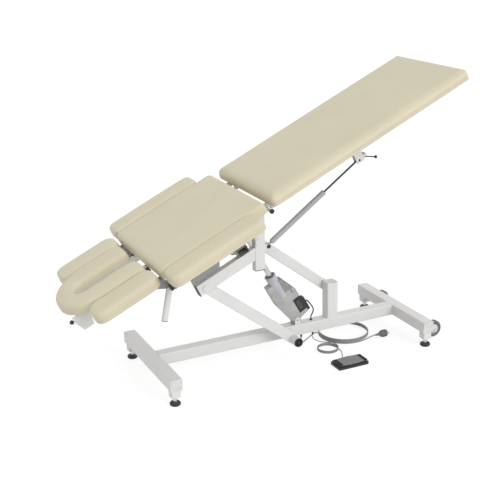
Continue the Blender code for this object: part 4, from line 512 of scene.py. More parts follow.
WHITE = PowderCoat("white_coat", (0.705, 0.705, 0.697), 0.38)
# A grey coat for the carriers; on the seat rest and the cross tube it is painted shade, as dark as they lie in the
# cushion's shadow.
GREY_AND_PAINTED_SHADE = PowderCoat("grey_coat", (0.30, 0.30, 0.30), 0.42)
PALE = Moulded("pale_plastic", (0.62, 0.62, 0.60), 0.48)
# Mid grey plastic for the seat rest's buffers and the post's end; on the actuator's recessed wing it is painted shade.
MID_GREY_AND_PAINTED_SHADE = Moulded("mid_grey_plastic_and_painted_shade", (0.26, 0.26, 0.265), 0.5)
DARK_GREY = Moulded("dark_grey_plastic", (0.11, 0.11, 0.115), 0.5)
BLACK = Moulded("black_plastic", (0.016, 0.016, 0.017), 0.45)
SATIN_BLACK = PowderCoat("black_steel", (0.022, 0.022, 0.024), 0.34, dust_height=0.01)
LILAC = Moulded("lilac_plastic", (0.455, 0.450, 0.500), 0.42)
HOUSING = Moulded("grey_plastic", (0.405, 0.402, 0.395), 0.46)
LILAC_STEEL = PowderCoat("lilac_metal", (0.385, 0.385, 0.42), 0.34, peel_height=0.00002, dust_height=0.01)
STEEL = TurnedSteel("bright_steel", (0.60, 0.60, 0.61), 0.24)
TYRE = Rubber("grey_rubber", (0.15, 0.15, 0.152), 0.78)
BUFFER = Rubber("black_rubber", (0.025, 0.025, 0.025), 0.8)
PEDAL_GREY = Rubber("pedal_rubber", (0.215, 0.215, 0.220), 0.62)
VINYL = Vinyl("cream_vinyl", (0.634, 0.578, 0.425), 0.46, (("Specular IOR Level", 0.4),))
THREAD = Rubber("seam_thread", (0.56, 0.50, 0.36), 0.8)
WOOD = Plywood("plywood", (0.50, 0.36, 0.21), 0.62)
CABLE = Sheath("grey_cord", (0.262, 0.262, 0.268), 0.5)
BLACK_CABLE = Sheath("black_cord", (0.02, 0.02, 0.02), 0.5)


@cache
def plain(finish: Finish) -> Material:
    """A finish's material without zones, made once."""
    return finish.material(finish.name)


# Places and meshes

class Site:
    """Turns the table's own coordinates, with the spine's middle at zero, into the frame's."""

    def __init__(self) -> None:
        """Find the spine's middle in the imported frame."""
        low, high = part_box("spine_tube")
        self.shift = Vector(((low.x + high.x) / 2, 0, 0))

    def flat(self, x: float, y: float, z: float) -> Vector:
        """A place of the base."""
        return Vector((x, y, z)) + self.shift

    def top(self, along: float, across: float, deep: float) -> Vector:
        """A place of the sloping top."""
        return self.turn((along, across, deep)) + self.shift

    def turn(self, direction: Point) -> Vector:
        """A direction of the sloping top."""
        return Matrix.Rotation(-SLOPE, 3, "Y") @ Vector(direction)


def circle(count: int, first: Vector, second: Vector) -> list[Vector]:
    """Directions evenly round a circle, from the first one towards the second."""
    angles = (TURN * step / count for step in range(count))
    return [first * math.cos(angle) + second * math.sin(angle) for angle in angles]


def new_object(name: str, data: object) -> Object:
    """Link an object at the origin.

    Args:
        name: its name.
        data: its mesh, curve, camera or light.

    Returns:
        The object.
    """
    made = bpy.data.objects.new(name, data)
    bpy.context.scene.collection.objects.link(made)
    return made


def baked(piece: Object) -> Mesh:
    """A piece's mesh with its modifiers applied."""
    bpy.context.view_layer.update()
    return bpy.data.meshes.new_from_object(piece.evaluated_get(bpy.context.evaluated_depsgraph_get()))


class Shell:
    """One closed mesh built ring by ring."""

    def __init__(self) -> None:
        """Start with nothing."""
        self.mesh = bmesh.new()

    def loft(self, rings: Sequence[Line], closed: bool = False) -> Shell:
        """Join rings of equally many points, and close the two ends.

        Args:
            rings: the rings in order.
            closed: whether the last ring joins the first.

        Returns:
            This shell.
        """
        made = [[self.mesh.verts.new(point) for point in ring] for ring in rings]
        for ring, following in zip(made, made[1:] + made[:closed]):
            for start in range(len(ring)):
                end = (start + 1) % len(ring)
                self.mesh.faces.new((ring[start], ring[end], following[end], following[start]))
        if not closed:
            self.cap(made[0])
            self.cap(made[-1])
        return self

    def cap(self, ring: Sequence[bmesh.types.BMVert]) -> None:
        """Close a ring with a ladder of faces from side to side.

        Args:
            ring: the ring's vertices in order.
        """
        last = len(ring) - 1
        for step in range(last // 2):
            corners = (ring[step], ring[step + 1], ring[last - step - 1], ring[last - step])
            self.mesh.faces.new(tuple(dict.fromkeys(corners)))

    def turned(self, start: Vector, direction: Point, profile: Sequence[tuple[float, float]],
               steps: int = 40) -> Shell:
        """Add a closed outline of (along, radius) spun about a line."""
        first, second, line = Vector(direction).to_track_quat("Z", "Y").to_matrix().col
        return self.loft([[start + out * radius + line * along for along, radius in profile]
                          for out in circle(steps, first, second)], closed=True)

    def object(self, name: str, look: Material, sharp: float = 40) -> Object:
        """Finish the mesh: doubles merged, faces outwards, smooth but for its sharp edges.

        Args:
            name: the piece's name.
            look: its material.
            sharp: the angle in degrees over which an edge stays sharp.

        Returns:
            The piece.
        """
        bmesh.ops.remove_doubles(self.mesh, verts=self.mesh.verts, dist=TINY)
        bmesh.ops.recalc_face_normals(self.mesh, faces=self.mesh.faces)
        mesh = bpy.data.meshes.new(name)
        self.mesh.to_mesh(mesh)
        self.mesh.free()
        mesh.materials.append(look)
        mesh.shade_smooth()
        mesh.set_sharp_from_angle(angle=math.radians(sharp))
        return new_object(name, mesh)


@dataclass(frozen=True)
class Cover:
    """Vinyl drawn over foam: cloth under pressure, its result kept in the mesh."""

    pressure: float = 4.0
    frames: int = 20
    stiffness: float = 60
    bending: float = 1.5
    most: float = 0.003
    sideways: float = 0.3

    def swell(self, piece: Object, up: Vector, held: float) -> None:
        """Let the foam press the cover out above its seam.

        Args:
            piece: the cushion, before its faces are split.
            up: square to the cushion's top.
            held: how far along it the cover is stapled down.
        """
        mesh = piece.data
        rest = np.array([vert.co for vert in mesh.vertices])
        fixed = piece.vertex_groups.new(name="stapled")
        fixed.add(np.flatnonzero(rest @ np.array(up) < held).tolist(), 1.0, "REPLACE")
        step = piece.modifiers.new("cover", "CLOTH")
        cloth = step.settings
        cloth.quality = 4
        cloth.vertex_group_mass = fixed.name
        cloth.tension_stiffness = self.stiffness
        cloth.compression_stiffness = self.stiffness
        cloth.bending_stiffness = self.bending
        cloth.use_pressure = True
        cloth.uniform_pressure_force = self.pressure
        cloth.effector_weights.gravity = 0
        step.collision_settings.use_collision = False
        step.point_cache.frame_end = self.frames
        for frame in range(1, self.frames + 1):
            bpy.context.scene.frame_set(frame)
        swollen = piece.evaluated_get(bpy.context.evaluated_depsgraph_get())
        moved = np.array([vert.co for vert in swollen.data.vertices]) - rest
        piece.modifiers.clear()
        piece.vertex_groups.clear()
        bpy.context.scene.frame_set(1)
        rise = moved @ np.array(up)
        aside = (moved - np.outer(rise, up)) * self.sideways
        share = self.most / max(self.most, float(np.abs(rise).max()))
        mesh.vertices.foreach_set("co", (rest + np.outer(rise * share, up) + aside * share).ravel())
        mesh.update()
        LOG.info("%s swelled by up to %.1f mm", piece.name, 1000 * share * float(np.abs(rise).max()))


# Repeats

class Unit(Enum):
    """What a repeat is made of."""

    BLOCK = "block"
    BOLT = "bolt"
    BEAD = "bead"


class Repeat(NodeTree):
    """A Geometry Nodes tree that sets beads along lines, or other units on points.

    Points have a facing and a heading; beads follow their line.
    """

    def __init__(self, unit: Unit) -> None:
        """Build the tree with its named inputs.

        Args:
            unit: what it repeats.
        """
        self.unit = unit
        self.lines = unit is Unit.BEAD
        kind = "line" if self.lines else "points"
        super().__init__(bpy.data.node_groups.new(f"{unit.value}s_on_{kind}", "GeometryNodeTree"))
        face = self.tree.interface
        face.new_socket("Geometry", in_out="INPUT", socket_type="NodeSocketGeometry")
        self.ids = {name: face.new_socket(name, in_out="INPUT", socket_type="NodeSocket" + kind).identifier
                    for name, kind in (("Spacing", "Float"), ("Length", "Float"), ("Width", "Float"),
                                       ("Height", "Float"), ("Sides", "Int"), ("Finish", "Material"))}
        face.new_socket("Geometry", in_out="OUTPUT", socket_type="NodeSocketGeometry")
        given = self.add("NodeGroupInput").outputs
        size = self.add("ShaderNodeCombineXYZ", {0: given["Length"], 1: given["Width"], 2: given["Height"]})
        points, turn = self.on_line(given) if self.lines else self.on_points(given)
        spread = self.add("GeometryNodeInstanceOnPoints",
                          {"Points": points, "Instance": self.shape(given), "Rotation": turn.outputs[0],
                           "Scale": size.outputs[0]})
        real = self.add("GeometryNodeRealizeInstances", {0: spread.outputs[0]})
        done = self.add("GeometryNodeSetMaterial", {"Geometry": real.outputs[0], "Material": given["Finish"]})
        self.add("NodeGroupOutput", {0: done.outputs[0]})

    def on_line(self, given: Sequence) -> tuple[NodeSocket, Node]:
        """Evenly spaced points of the guide's lines, turned along them.

        Args:
            given: the tree's inputs.

        Returns:
            The points, and the node that turns each unit.
        """
        line = self.add("GeometryNodeMeshToCurve", {"Mesh": given["Geometry"]})
        points = self.add("GeometryNodeResampleCurve", {"Curve": line.outputs[0], "Length": given["Spacing"]},
                          mode="LENGTH")
        heading = self.add("GeometryNodeInputTangent").outputs[0]
        return points.outputs[0], self.add("FunctionNodeAlignRotationToVector", {"Vector": heading}, axis="X")

    def on_points(self, given: Sequence) -> tuple[NodeSocket, Node]:
        """The guide's own points, turned by their facing and heading.

        Args:
            given: the tree's inputs.

        Returns:
            The points, and the node that turns each unit.
        """
        points = self.add("GeometryNodeMeshToPoints", {"Mesh": given["Geometry"]}).outputs[0]
        facing, heading = (self.add("GeometryNodeInputNamedAttribute", {0: name}, data_type="FLOAT_VECTOR").outputs[0]
                           for name in ("facing", "heading"))
        first = self.add("FunctionNodeAlignRotationToVector", {"Vector": facing}, axis="Z")
        return points, self.add("FunctionNodeAlignRotationToVector",
                                {"Rotation": first.outputs[0], "Vector": heading}, axis="X", pivot_axis="Z")

    def shape(self, given: Sequence) -> NodeSocket:
        """The unit, one metre long, wide and high.

        Args:
            given: the tree's inputs.

        Returns:
            The socket with the unit's mesh.
        """
        if self.unit is Unit.BLOCK:
            return self.add("GeometryNodeMeshCube", {"Size": (1, 1, 1)}).outputs[0]
        if self.lines:
            return self.add("GeometryNodeMeshUVSphere", {"Segments": 8, "Rings": 5, "Radius": 0.5}).outputs[0]
        head = self.add("GeometryNodeMeshCylinder", {"Vertices": given["Sides"], "Radius": 0.5, "Depth": 1.0},
                        fill_type="NGON")
        crown = self.add("GeometryNodeMeshCone", {"Vertices": given["Sides"], "Radius Top": 0.36,
                                                  "Radius Bottom": 0.5, "Depth": 0.22}, fill_type="NGON")
        lifted = self.add("GeometryNodeTransform", {0: crown.outputs[0], "Translation": (0, 0, 0.5)})
        return self.add("GeometryNodeJoinGeometry", {0: [head.outputs[0], lifted.outputs[0]]}).outputs[0]

    def guide(self, rows: Sequence[Line]) -> Mesh:
        """A mesh of open lines, or of points that each have a facing and a heading.

        Args:
            rows: the points of each line, or place, facing and heading of each point.

        Returns:
            The mesh.
        """
        mesh = bpy.data.meshes.new("guide")
        if self.lines:
            edges = []
            start = 0
            for row in rows:
                edges += [(start + step, start + step + 1) for step in range(len(row) - 1)]
                start += len(row)
            mesh.from_pydata([point for row in rows for point in row], edges, [])
            return mesh
        mesh.from_pydata([row[0] for row in rows], [], [])
        for number, name in ((1, "facing"), (2, "heading")):
            values = [part for row in rows for part in Vector(row[number]).normalized()]
            mesh.attributes.new(name, "FLOAT_VECTOR", "POINT").data.foreach_set("vector", values)
        return mesh

    def make(self, name: str, rows: Sequence[Line], finish: Finish, size: Point,
             spacing: float = 0.01, sides: int = 6) -> Object:
        """Run the tree on a guide and keep the result as a plain mesh.

        Args:
            name: the new piece's name.
            rows: the guide's lines or points.
            finish: the finish of the units.
            size: length, width and height of a unit.
            spacing: distance between units on a line.
            sides: sides of a bolt's head.

        Returns:
            The piece.
        """
        carrier = new_object(name + "_guide", self.guide(rows))
        step = carrier.modifiers.new("repeat", "NODES")
        step.node_group = self.tree
        for key, value in zip(self.ids.values(), (spacing, *size, sides, plain(finish))):
            step[key] = value
        mesh = baked(carrier)
        bpy.data.objects.remove(carrier)
        if self.unit is not Unit.BLOCK:
            mesh.shade_smooth()
            mesh.set_sharp_from_angle(angle=UNIT_SHARP)
        return new_object(name, mesh)


# Assemblies

@dataclass
class Assembly:
    """A group of the table's parts that is dressed together."""

    site: Site
    repeats: dict[Unit, Repeat]

    def dress(self, node: str, finish: Finish, *zones: Zone) -> None:
        """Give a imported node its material.

        Args:
            node: the node's name.
            finish: its main finish.
            zones: where another finish shows.
        """
        LOG.info("%s wears %s", node, finish.name)
        look = finish.material(f"{finish.name}_{node}", zones) if zones else plain(finish)
        for place in bpy.data.objects[node].material_slots:
            place.material = look

    def add(self, piece: Object, body: str, slot: str) -> None:
        """Let a new piece ride on a body and report it.

        Args:
            piece: the piece.
            body: the body that carries it.
            slot: the record's slot that its finish comes from; not used.
        """
        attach(piece, body)
        LOG.info("%s rides on %s", piece.name, body)

    def spread(self, unit: Unit, name: str, rows: Sequence[Line], finish: Finish, size: Point,
               body: str, slot: str, **options: float) -> None:
        """Make a repeated piece and let it ride; its units have a length, a width and a height."""
        self.add(self.repeats[unit].make(name, rows, finish, size, **options), body, slot)

    def beyond(self, direction: Point, limit: float, sloped: bool = False, both: bool = False) -> Test:
        """A test for what lies past a plane so far from the table's zero, or past its mirror image too."""
        return Test(self.site.turn(direction) if sloped else direction, limit, self.site.shift, both)


def smooth_line(points: Line, spacing: float) -> list[Vector]:
    """Evenly spaced places on a smooth curve through a cord's points.

    Args:
        points: the points.
        spacing: the distance between places.

    Returns:
        The places, straight for a little at both ends.
    """
    ends = [2 * points[0] - points[1], *points, 2 * points[-1] - points[-2]]
    fine = []
    steps = 16
    for p0, p1, p2, p3 in zip(ends, ends[1:], ends[2:], ends[3:]):
        for t in (step / steps for step in range(steps)):
            bend = p1 * 2 + (p2 - p0) * t + (2 * p0 - 5 * p1 + 4 * p2 - p3) * t ** 2
            fine.append((bend + (3 * p1 - p0 - 3 * p2 + p3) * t ** 3) / 2)
    table = np.array([*fine, points[-1]])
    lengths = np.concatenate(([0.0], np.cumsum(np.linalg.norm(np.diff(table, axis=0), axis=1))))
    marks = np.linspace(0, lengths[-1], max(2, round(lengths[-1] / spacing)) + 1)
    return [Vector(row) for row in zip(*(np.interp(marks, lengths, column) for column in table.T))]


def length_of(places: Line) -> float:
    """The length of a line."""
    return sum((after - before).length for before, after in zip(places, places[1:]))


@dataclass(frozen=True)
class Coil:
    """Loops of a cord that climb, or sink where the pitch is negative."""

    centre: tuple[float, float]
    radius: float
    start_angle: float
    turns: float
    start_height: float
    pitch: float

    def places(self) -> list[Vector]:
        """Points round the loops.

        Returns:
            The points, in order.
        """
        steps_per_turn = 56
        count = round(steps_per_turn * self.turns)
        made = []
        for share in (step / count for step in range(count + 1)):
            angle = self.start_angle + TURN * self.turns * share
            made.append(Vector((self.centre[0] + self.radius * math.cos(angle),
                                self.centre[1] + self.radius * math.sin(angle),
                                self.start_height + self.pitch * self.turns * share)))
        return made


@dataclass(frozen=True)
class Lead:
    """A cord that lies coiled on the floor, in the table's own coordinates.

    It goes through its first points, comes to the loops and leaves them by straight runs, each a direction
    and a length, and ends through its last points.
    """

    name: str
    radius: float
    spacing: float
    coil: Coil
    first: tuple[Triple, ...]
    come: tuple[Vector, float]
    leave: tuple[Vector, float]
    last: tuple[Triple, ...]

    def places(self) -> list[Vector]:
        """Its middle line.

        Returns:
            Evenly spaced places, in order.
        """
        loops = self.coil.places()
        (come, run), (leave, next_run) = self.come, self.leave
        joint = loops[0] + come * 2 * self.radius
        parting = loops[-1] + leave * 2 * self.radius
        return [*smooth_line([*map(Vector, self.first), joint + come * run, joint], self.spacing), *loops,
                *smooth_line([parting, parting + leave * next_run, *map(Vector, self.last)], self.spacing)]


MAINS = Lead("mains_lead", 0.00325, 0.008, Coil((0.4125, 0.035), 0.135, math.pi, 3.25, 0.0263, -0.0070),
             ((0.130, 0, 0.0563), (0.130, 0, 0.0386), (0.138, 0.014, 0.013), (0.165, 0.040, 0.00355),
              (0.205, 0.069, 0.00355), (0.240, 0.088, 0.008), (0.264, 0.084, 0.020)),
             (ACROSS, 0.016), (FORWARD, 0.012),
             ((0.452, -0.1, 0.0048), (0.480, -0.1, 0.0098), (0.505, -0.1, 0.0163), (0.523, -0.1, 0.0198),
              (0.535, -0.1, 0.0198)))
PEDAL = Lead("pedal_lead", 0.0025, 0.006, Coil((0.2325, -0.1085), 0.055, 0.0, 3.0, 0.0028, 0.0056),
             ((0.245, -0.2647, 0.007), (0.245, -0.2507, 0.007), (0.253, -0.224, 0.0028), (0.272, -0.190, 0.0028),
              (0.285, -0.155, 0.0028)),
             (-ACROSS, 0.014), (ACROSS, 0.012),
             ((0.2815, -0.072, 0.0185), (0.262, -0.047, 0.0150), (0.236, -0.024, 0.0150), (0.212, -0.008, 0.0250),
              (0.200, 0, 0.0406), (0.200, 0, 0.0563)))


@dataclass
class Cords(Assembly):
    """The mains lead with its coil and plug, and the pedal's lead."""

    plug_waist: Triple = (0.587, -0.1, 0.0198)
    plug_radius: float = 0.0195
    plug_end: float = 0.6045
    plug_ribs: int = 28
    plug_rib: Triple = (0.016, 0.0016, 0.0012)

    def build(self) -> None:
        """Build and dress the cords and what is on them."""
        self.mains()
        self.pedal()
        self.dress("mains_gland", BLACK)
        self.dress("pedal_gland", BLACK)
        self.dress("mains_plug", TYRE, Zone(STEEL, (self.beyond(FORWARD, self.plug_end),)))
        middle = self.site.flat(*self.plug_waist)
        rows = [(middle + out * self.plug_radius, out, FORWARD) for out in circle(self.plug_ribs, ACROSS, UP)]
        self.spread(Unit.BLOCK, "plug_ribs", rows, TYRE, self.plug_rib, "base", "grey_rubber")

    def lay(self, lead: Lead) -> tuple[Object, list[Vector]]:
        """Lay a lead as a round curve.

        Args:
            lead: its route and thickness.

        Returns:
            The curve, and its middle line in the frame.
        """
        places = [place + self.site.shift for place in lead.places()]
        curve = bpy.data.curves.new(lead.name, "CURVE")
        curve.dimensions = "3D"
        curve.bevel_depth = lead.radius
        curve.bevel_resolution = 4
        curve.use_fill_caps = True
        curve.twist_mode = "Z_UP"
        spline = curve.splines.new("POLY")
        spline.points.add(len(places) - 1)
        for point, place in zip(spline.points, places):
            point.co = (*place, 1)
        spline.use_smooth = True
        curve.materials.append(plain(CABLE))
        return new_object(lead.name, curve), places

    def mains(self) -> None:
        """The lead leaves the spine, winds on the floor and ends in its plug."""
        cord, places = self.lay(MAINS)
        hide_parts("power_cord_lead", "power_cord_coil", "power_cord_tail")
        self.add(cord, "base", "grey_cord")
        length_of(places)

    def pedal(self) -> None:
        """The pedal's lead winds beside it and goes up into the spine."""
        cord, places = self.lay(PEDAL)
        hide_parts("pedal_cord_feed", "pedal_cord_coil", "pedal_cord_tail")
        self.add(cord, "base", "grey_cord")
        length_of(places)


@dataclass
class MotorLead(Assembly):
    """The black lead that hangs from the actuator's outlet to the spine."""

    radius: float = 0.0035
    outlet_face: float = 0.096
    grommet: Triple = (0.190, 0, 0.1496)
    slack: Triple = (0.204, 0, 0.205)
    gap: float = 0.0003
    corner_run: float = 0.010
    grommet_run: float = 0.014
    spacing: float = 0.006
    sides: int = 14

    def build(self) -> None:
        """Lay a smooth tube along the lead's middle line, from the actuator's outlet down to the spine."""
        places = self.centreline()
        rings = []
        for before, place, after in zip([places[0], *places], places, [*places[1:], places[-1]]):
            rise = (after - before).normalized().cross(ACROSS).normalized()
            rings.append([place + self.radius * out for out in circle(self.sides, ACROSS, rise)])
        tube = Shell().loft(rings).object("motor_lead_sheath", plain(BLACK_CABLE), 60)
        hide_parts("motor_lead")
        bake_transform(tube)
        length_of(places)
        LOG.info("%s bends between base and actuator", tube.name)

    def centreline(self) -> list[Vector]:
        """The lead's middle line in the frame.

        Returns:
            Its places, from the outlet down to the spine.
        """
        actuator = Actuator(self.site, self.repeats)
        out = actuator.rise
        corner = actuator.place(actuator.outlet_middle, 0, self.outlet_face) + out * self.gap
        grommet = self.site.flat(*self.grommet) + UP * self.gap
        return smooth_line([corner, corner + out * self.corner_run, self.site.flat(*self.slack),
                            grommet + UP * self.grommet_run, grommet], self.spacing)


@dataclass
class BaseFrame(Assembly):
    """Spine, crossbars, post, feet, wheels and the actuator's bracket."""

    bar_bottom: float = 0.0826
    bar_top: float = 0.1436
    grommet_bottom: float = 0.144
    spine_half: float = 0.030
    spine_end: float = 0.6872
    crossbar_x: float = 0.7185
    crossbar_half: float = 0.327
    stub_offset: float = 0.303
    stub_half: float = 0.0235
    post_x: float = 0.307
    post_half: float = 0.03135
    post_top: float = 0.339
    pin_face: float = 0.0315
    bracket_face: float = 0.0277
    foot_top: float = 0.0172
    nut_z: float = 0.0395
    wheel: Triple = (0.800, 0.255, 0.065)
    axle_radius: float = 0.0096
    hub_radius: float = 0.026
    spoke_middle: float = 0.0175
    spoke_face: float = 0.0148
    grommet_x: float = 0.190
    grommet_radius: float = 0.0095
    bead: Triple = (0.0034, 0.00306, 0.00272)
    bead_spacing: float = 0.0017
    bead_inset: float = 0.003
    post_bead_share: float = 0.93
    nut: Triple = (0.030, 0.030, 0.008)
    spokes: int = 8
    spoke: Triple = (0.0105, 0.0026, 0.0062)

    def build(self) -> None:
        """Dress the base and add its weld beads, nuts and wheel spokes."""
        grommet = Zone(BUFFER, (self.beyond(UP, self.grommet_bottom),
                                Round(UP, self.grommet_radius, self.site.flat(self.grommet_x, 0, 0))))
        plug = Zone(PALE, (self.beyond(ACROSS, self.crossbar_half, both=True),))
        axle = Zone(STEEL, (Round(ACROSS, self.axle_radius, self.site.flat(*self.wheel)),))
        cap = Zone(PALE, (self.beyond(UP, self.post_top),))
        pin = Zone(STEEL, (self.beyond(ACROSS, self.pin_face),))
        stem = Zone(STEEL, (self.beyond(UP, self.foot_top),))
        self.dress("spine_tube", WHITE, grommet)
        self.dress("crossbar_head_end", WHITE, plug)
        self.dress("crossbar_leg_end", WHITE, plug, axle)
        self.dress("post_tube", WHITE, cap, pin)
        for end in ("head", "leg"):
            for side_name, _ in SIDES:
                self.dress(f"levelling_foot_{end}_{side_name}", BLACK, stem)
        self.dress("actuator_bracket", WHITE, Zone(STEEL, (self.beyond(ACROSS, self.bracket_face, both=True),)))
        self.dress("lower_arm_axle", STEEL)
        self.welds()
        nuts = [(self.site.flat(way * self.crossbar_x, side * self.stub_offset, self.nut_z), -UP, FORWARD)
                for way in WAYS for side in (NEAR, FAR)]
        self.spread(Unit.BOLT, "foot_locking_nuts", nuts, STEEL, self.nut, "base", "bright_steel")
        for side_name, side in SIDES:
            self.dress_wheel("wheel_" + side_name, side)

    def welds(self) -> None:
        """Painted weld beads where tubes meet."""
        runs = []
        upright = (self.bar_bottom + self.bead_inset, self.bar_top - self.bead_inset)
        for way in WAYS:
            for side, heights in ((NEAR, upright), (FAR, upright[::-1])):
                runs.append([self.site.flat(way * self.spine_end, side * self.spine_half, z) for z in heights])
            for side in (NEAR, FAR):
                runs.append([self.site.flat(way * self.crossbar_x + dx * self.stub_half,
                                            side * self.stub_offset + dy * self.stub_half, self.bar_bottom)
                             for dx, dy in ((-1, -1), (1, -1), (1, 1), (-1, 1), (-1, -1))])
        for way in WAYS:
            x = self.post_x + way * self.post_half
            runs.append([self.site.flat(x, self.post_bead_share * side * self.spine_half, self.bar_top)
                         for side in (NEAR, FAR)])
        self.spread(Unit.BEAD, "base_weld_beads", runs, WHITE, self.bead, "base", "white_coat",
                    spacing=self.bead_spacing)

    def dress_wheel(self, wheel: str, side: int) -> None:
        """A grey tyre round a light hub with spokes.

        Args:
            wheel: the node and body of the wheel.
            side: -1 or 1.
        """
        x, y, z = self.wheel
        centre = self.site.flat(x, side * y, z)
        self.dress(wheel, TYRE, Zone(PALE, (Round(ACROSS, self.hub_radius, centre),)))
        spokes = [(centre + out * self.spoke_middle + ACROSS * face * self.spoke_face, ACROSS * face, out)
                  for out in circle(self.spokes, FORWARD, UP) for face in WAYS]
        self.spread(Unit.BLOCK, wheel.replace("wheel", "wheel_spokes"), spokes, PALE, self.spoke, wheel,
                    "grey_rubber")


@dataclass
class Lift(Assembly):
    """Arms, columns, slanted tubes, cross tube, seat rest and shafts."""

    column_bottom: float = 0.544
    diagonal_end: float = -0.262
    buffer_bottom: float = 0.8053
    hinge_half: float = 0.300
    spring_foot: Triple = (-0.132, -0.140, 0.657)
    spring_pin_radius: float = 0.0104
    spring_pin_face: float = 0.0146
    cap_face: Triple = (0.022, -0.1736, 0.1131)
    cap_ribs: int = 20
    cap_rib: Triple = (0.0085, 0.0014, 0.0036)
    cap_rib_middle: float = 0.0145
    shaft_end: float = 0.012

    def build(self) -> None:
        """Dress the lift and add the ribs of the lower arm's cap."""
        self.dress("lower_arm", WHITE)
        self.dress("upper_arm", WHITE)
        self.dress("lower_arm_cap", BLACK)
        bottom = Zone(BLACK, (self.beyond(-UP, -self.column_bottom),))
        foot = self.site.flat(*self.spring_foot)
        pin = Zone(BLACK, (Round(ACROSS, self.spring_pin_radius, foot),
                           Test(ACROSS, self.spring_pin_face, foot, True)))
        self.dress("column_near", WHITE, bottom, pin)
        self.dress("column_far", WHITE, bottom)
        end = Zone(BLACK, (self.beyond(-FORWARD, -self.diagonal_end, sloped=True),))
        for side_name, _ in SIDES:
            self.dress("diagonal_" + side_name, WHITE, end)
        # Painted shade: the cross tube and the seat rest wear a grey coat as dark as the shadow under the cushion.
        self.dress("lift_cross_tube", GREY_AND_PAINTED_SHADE)
        self.dress("seat_rest", GREY_AND_PAINTED_SHADE, Zone(MID_GREY_AND_PAINTED_SHADE, (self.beyond(UP, self.buffer_bottom, sloped=True),)))
        for node in ("arm_shaft_lower", "arm_shaft_upper"):
            reach = max(abs(corner.y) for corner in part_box(node)) - self.shaft_end
            self.dress(node, STEEL, Zone(WHITE, (self.beyond(ACROSS, reach, both=True),)))
        self.dress("hinge_shaft", STEEL, Zone(BLACK, (self.beyond(ACROSS, self.hinge_half, both=True),)))
        centre = self.site.flat(*self.cap_face)
        rows = [(centre + out * self.cap_rib_middle, -ACROSS, out) for out in circle(self.cap_ribs, FORWARD, UP)]
        self.spread(Unit.BLOCK, "arm_cap_ribs", rows, BLACK, self.cap_rib, "lower_arm", "black_plastic")


@dataclass
class Actuator(Assembly):
    """Motor housing, round sleeve, bright rod, and their screws, ribs and wiper."""

    foot: Triple = (0.095, 0, 0.170)
    head: Triple = (-0.1907, 0, 0.69023)
    sleeve_end: float = 0.3055
    half: float = 0.022
    wiper: tuple[float, float, float] = (0.0152, 0.0225, 0.0014)
    outlet_middle: float = 0.0445
    outlet: tuple[float, float] = (0.0775, 0.041)
    bay: tuple[float, float, float] = (0.068, 0.033, 0.0455)
    # Where the recessed wing next to the sleeve starts, as (along, rise): that wing is painted darker for the shade in
    # the recess.
    painted_shade_wing: tuple[float, float] = (0.178, 0.016)
    screw_places: tuple[tuple[float, float], ...] = ((0.015, 0.064), (0.128, 0.022), (0.215, 0.046),
                                                     (0.245, -0.044), (0.130, -0.040))
    screw: Triple = (0.0066, 0.0066, 0.0018)
    screw_lift: float = 0.0004
    rib_pitch: float = 0.011
    outlet_ribs: Triple = (0.046, 0.054, 5)
    outlet_rib: Triple = (0.020, 0.0045, 0.0022)
    cross_rib: tuple[float, float] = (0.165, 0.053)
    housing_ribs: Triple = (0.140, -0.034, 9)
    housing_rib: Triple = (0.0032, 0.026, 0.0016)

    @property
    def line(self) -> Vector:
        """The direction from the foot's pin to the head's."""
        return (Vector(self.head) - Vector(self.foot)).normalized()

    @property
    def rise(self) -> Vector:
        """The direction square to the line, up and towards the leg end."""
        return Vector((self.line.z, 0, -self.line.x))

    def place(self, along: float, across: float, rise: float) -> Vector:
        """A place counted from the foot's pin, in the actuator's own directions."""
        return self.site.flat(*self.foot) + self.line * along + ACROSS * across + self.rise * rise

    def past(self, direction: Vector, limit: float) -> Test:
        """A test for what lies past a plane, counted from the foot's pin."""
        return Test(direction, limit, self.place(0, 0, 0))

    def band(self, middle: float, half: float) -> Test:
        """A test for a band across the actuator's line."""
        return Test(self.line, half, self.place(middle, 0, 0), mirrored=True, within=True)

    def both_faces(self, places: Sequence[tuple[float, float]], heading: Vector, lift: float = 0.0) -> list[tuple]:
        """Place, facing and heading of units at (along, rise) on both faces of the housing."""
        return [(self.place(along, side * (self.half + lift), rise), ACROSS * side, heading)
                for along, rise in places for side in (NEAR, FAR)]

    def build(self) -> None:
        """Dress the actuator and add its small parts."""
        middle, low, half = self.bay
        # The first zone is painted shade: the recessed wing next to the sleeve is coloured mid grey for the shade that
        # falls in it.
        self.dress("actuator_housing", HOUSING,
                   Zone(MID_GREY_AND_PAINTED_SHADE, (self.past(self.line, self.painted_shade_wing[0]), self.past(self.rise, self.painted_shade_wing[1]))),
                   Zone(BLACK, (self.past(self.rise, low), self.band(middle, half))),
                   Zone(BLACK, (self.past(self.rise, self.outlet[0]), self.band(self.outlet_middle, self.outlet[1]))))
        self.dress("actuator_sleeve", LILAC)
        self.dress("actuator_rod", STEEL)
        inner, outer, thick = self.wiper
        ring = ((0, inner), (thick, inner), (thick, outer), (0, outer))
        wiper = Shell().turned(self.place(self.sleeve_end, 0, 0), self.line, ring)
        self.add(wiper.object("rod_wiper", plain(DARK_GREY)), "actuator", "black_plastic")
        self.spread(Unit.BOLT, "housing_screws", self.both_faces(self.screw_places, self.line, self.screw_lift),
                    STEEL, self.screw, "actuator", "bright_steel", sides=12)
        rows = self.both_faces([self.cross_rib], self.line) + self.both_faces(self.row(self.outlet_ribs), self.rise)
        self.spread(Unit.BLOCK, "outlet_ribs", rows, DARK_GREY, self.outlet_rib, "actuator", "black_plastic")
        self.spread(Unit.BLOCK, "housing_ribs", self.both_faces(self.row(self.housing_ribs), self.line), HOUSING,
                    self.housing_rib, "actuator", "lilac_plastic")

    def row(self, ribs: Triple) -> list[tuple[float, float]]:
        """(Along, rise) of the ribs of a row that is given as first along, rise and count."""
        return [(ribs[0] + self.rib_pitch * step, ribs[1]) for step in range(ribs[2])]


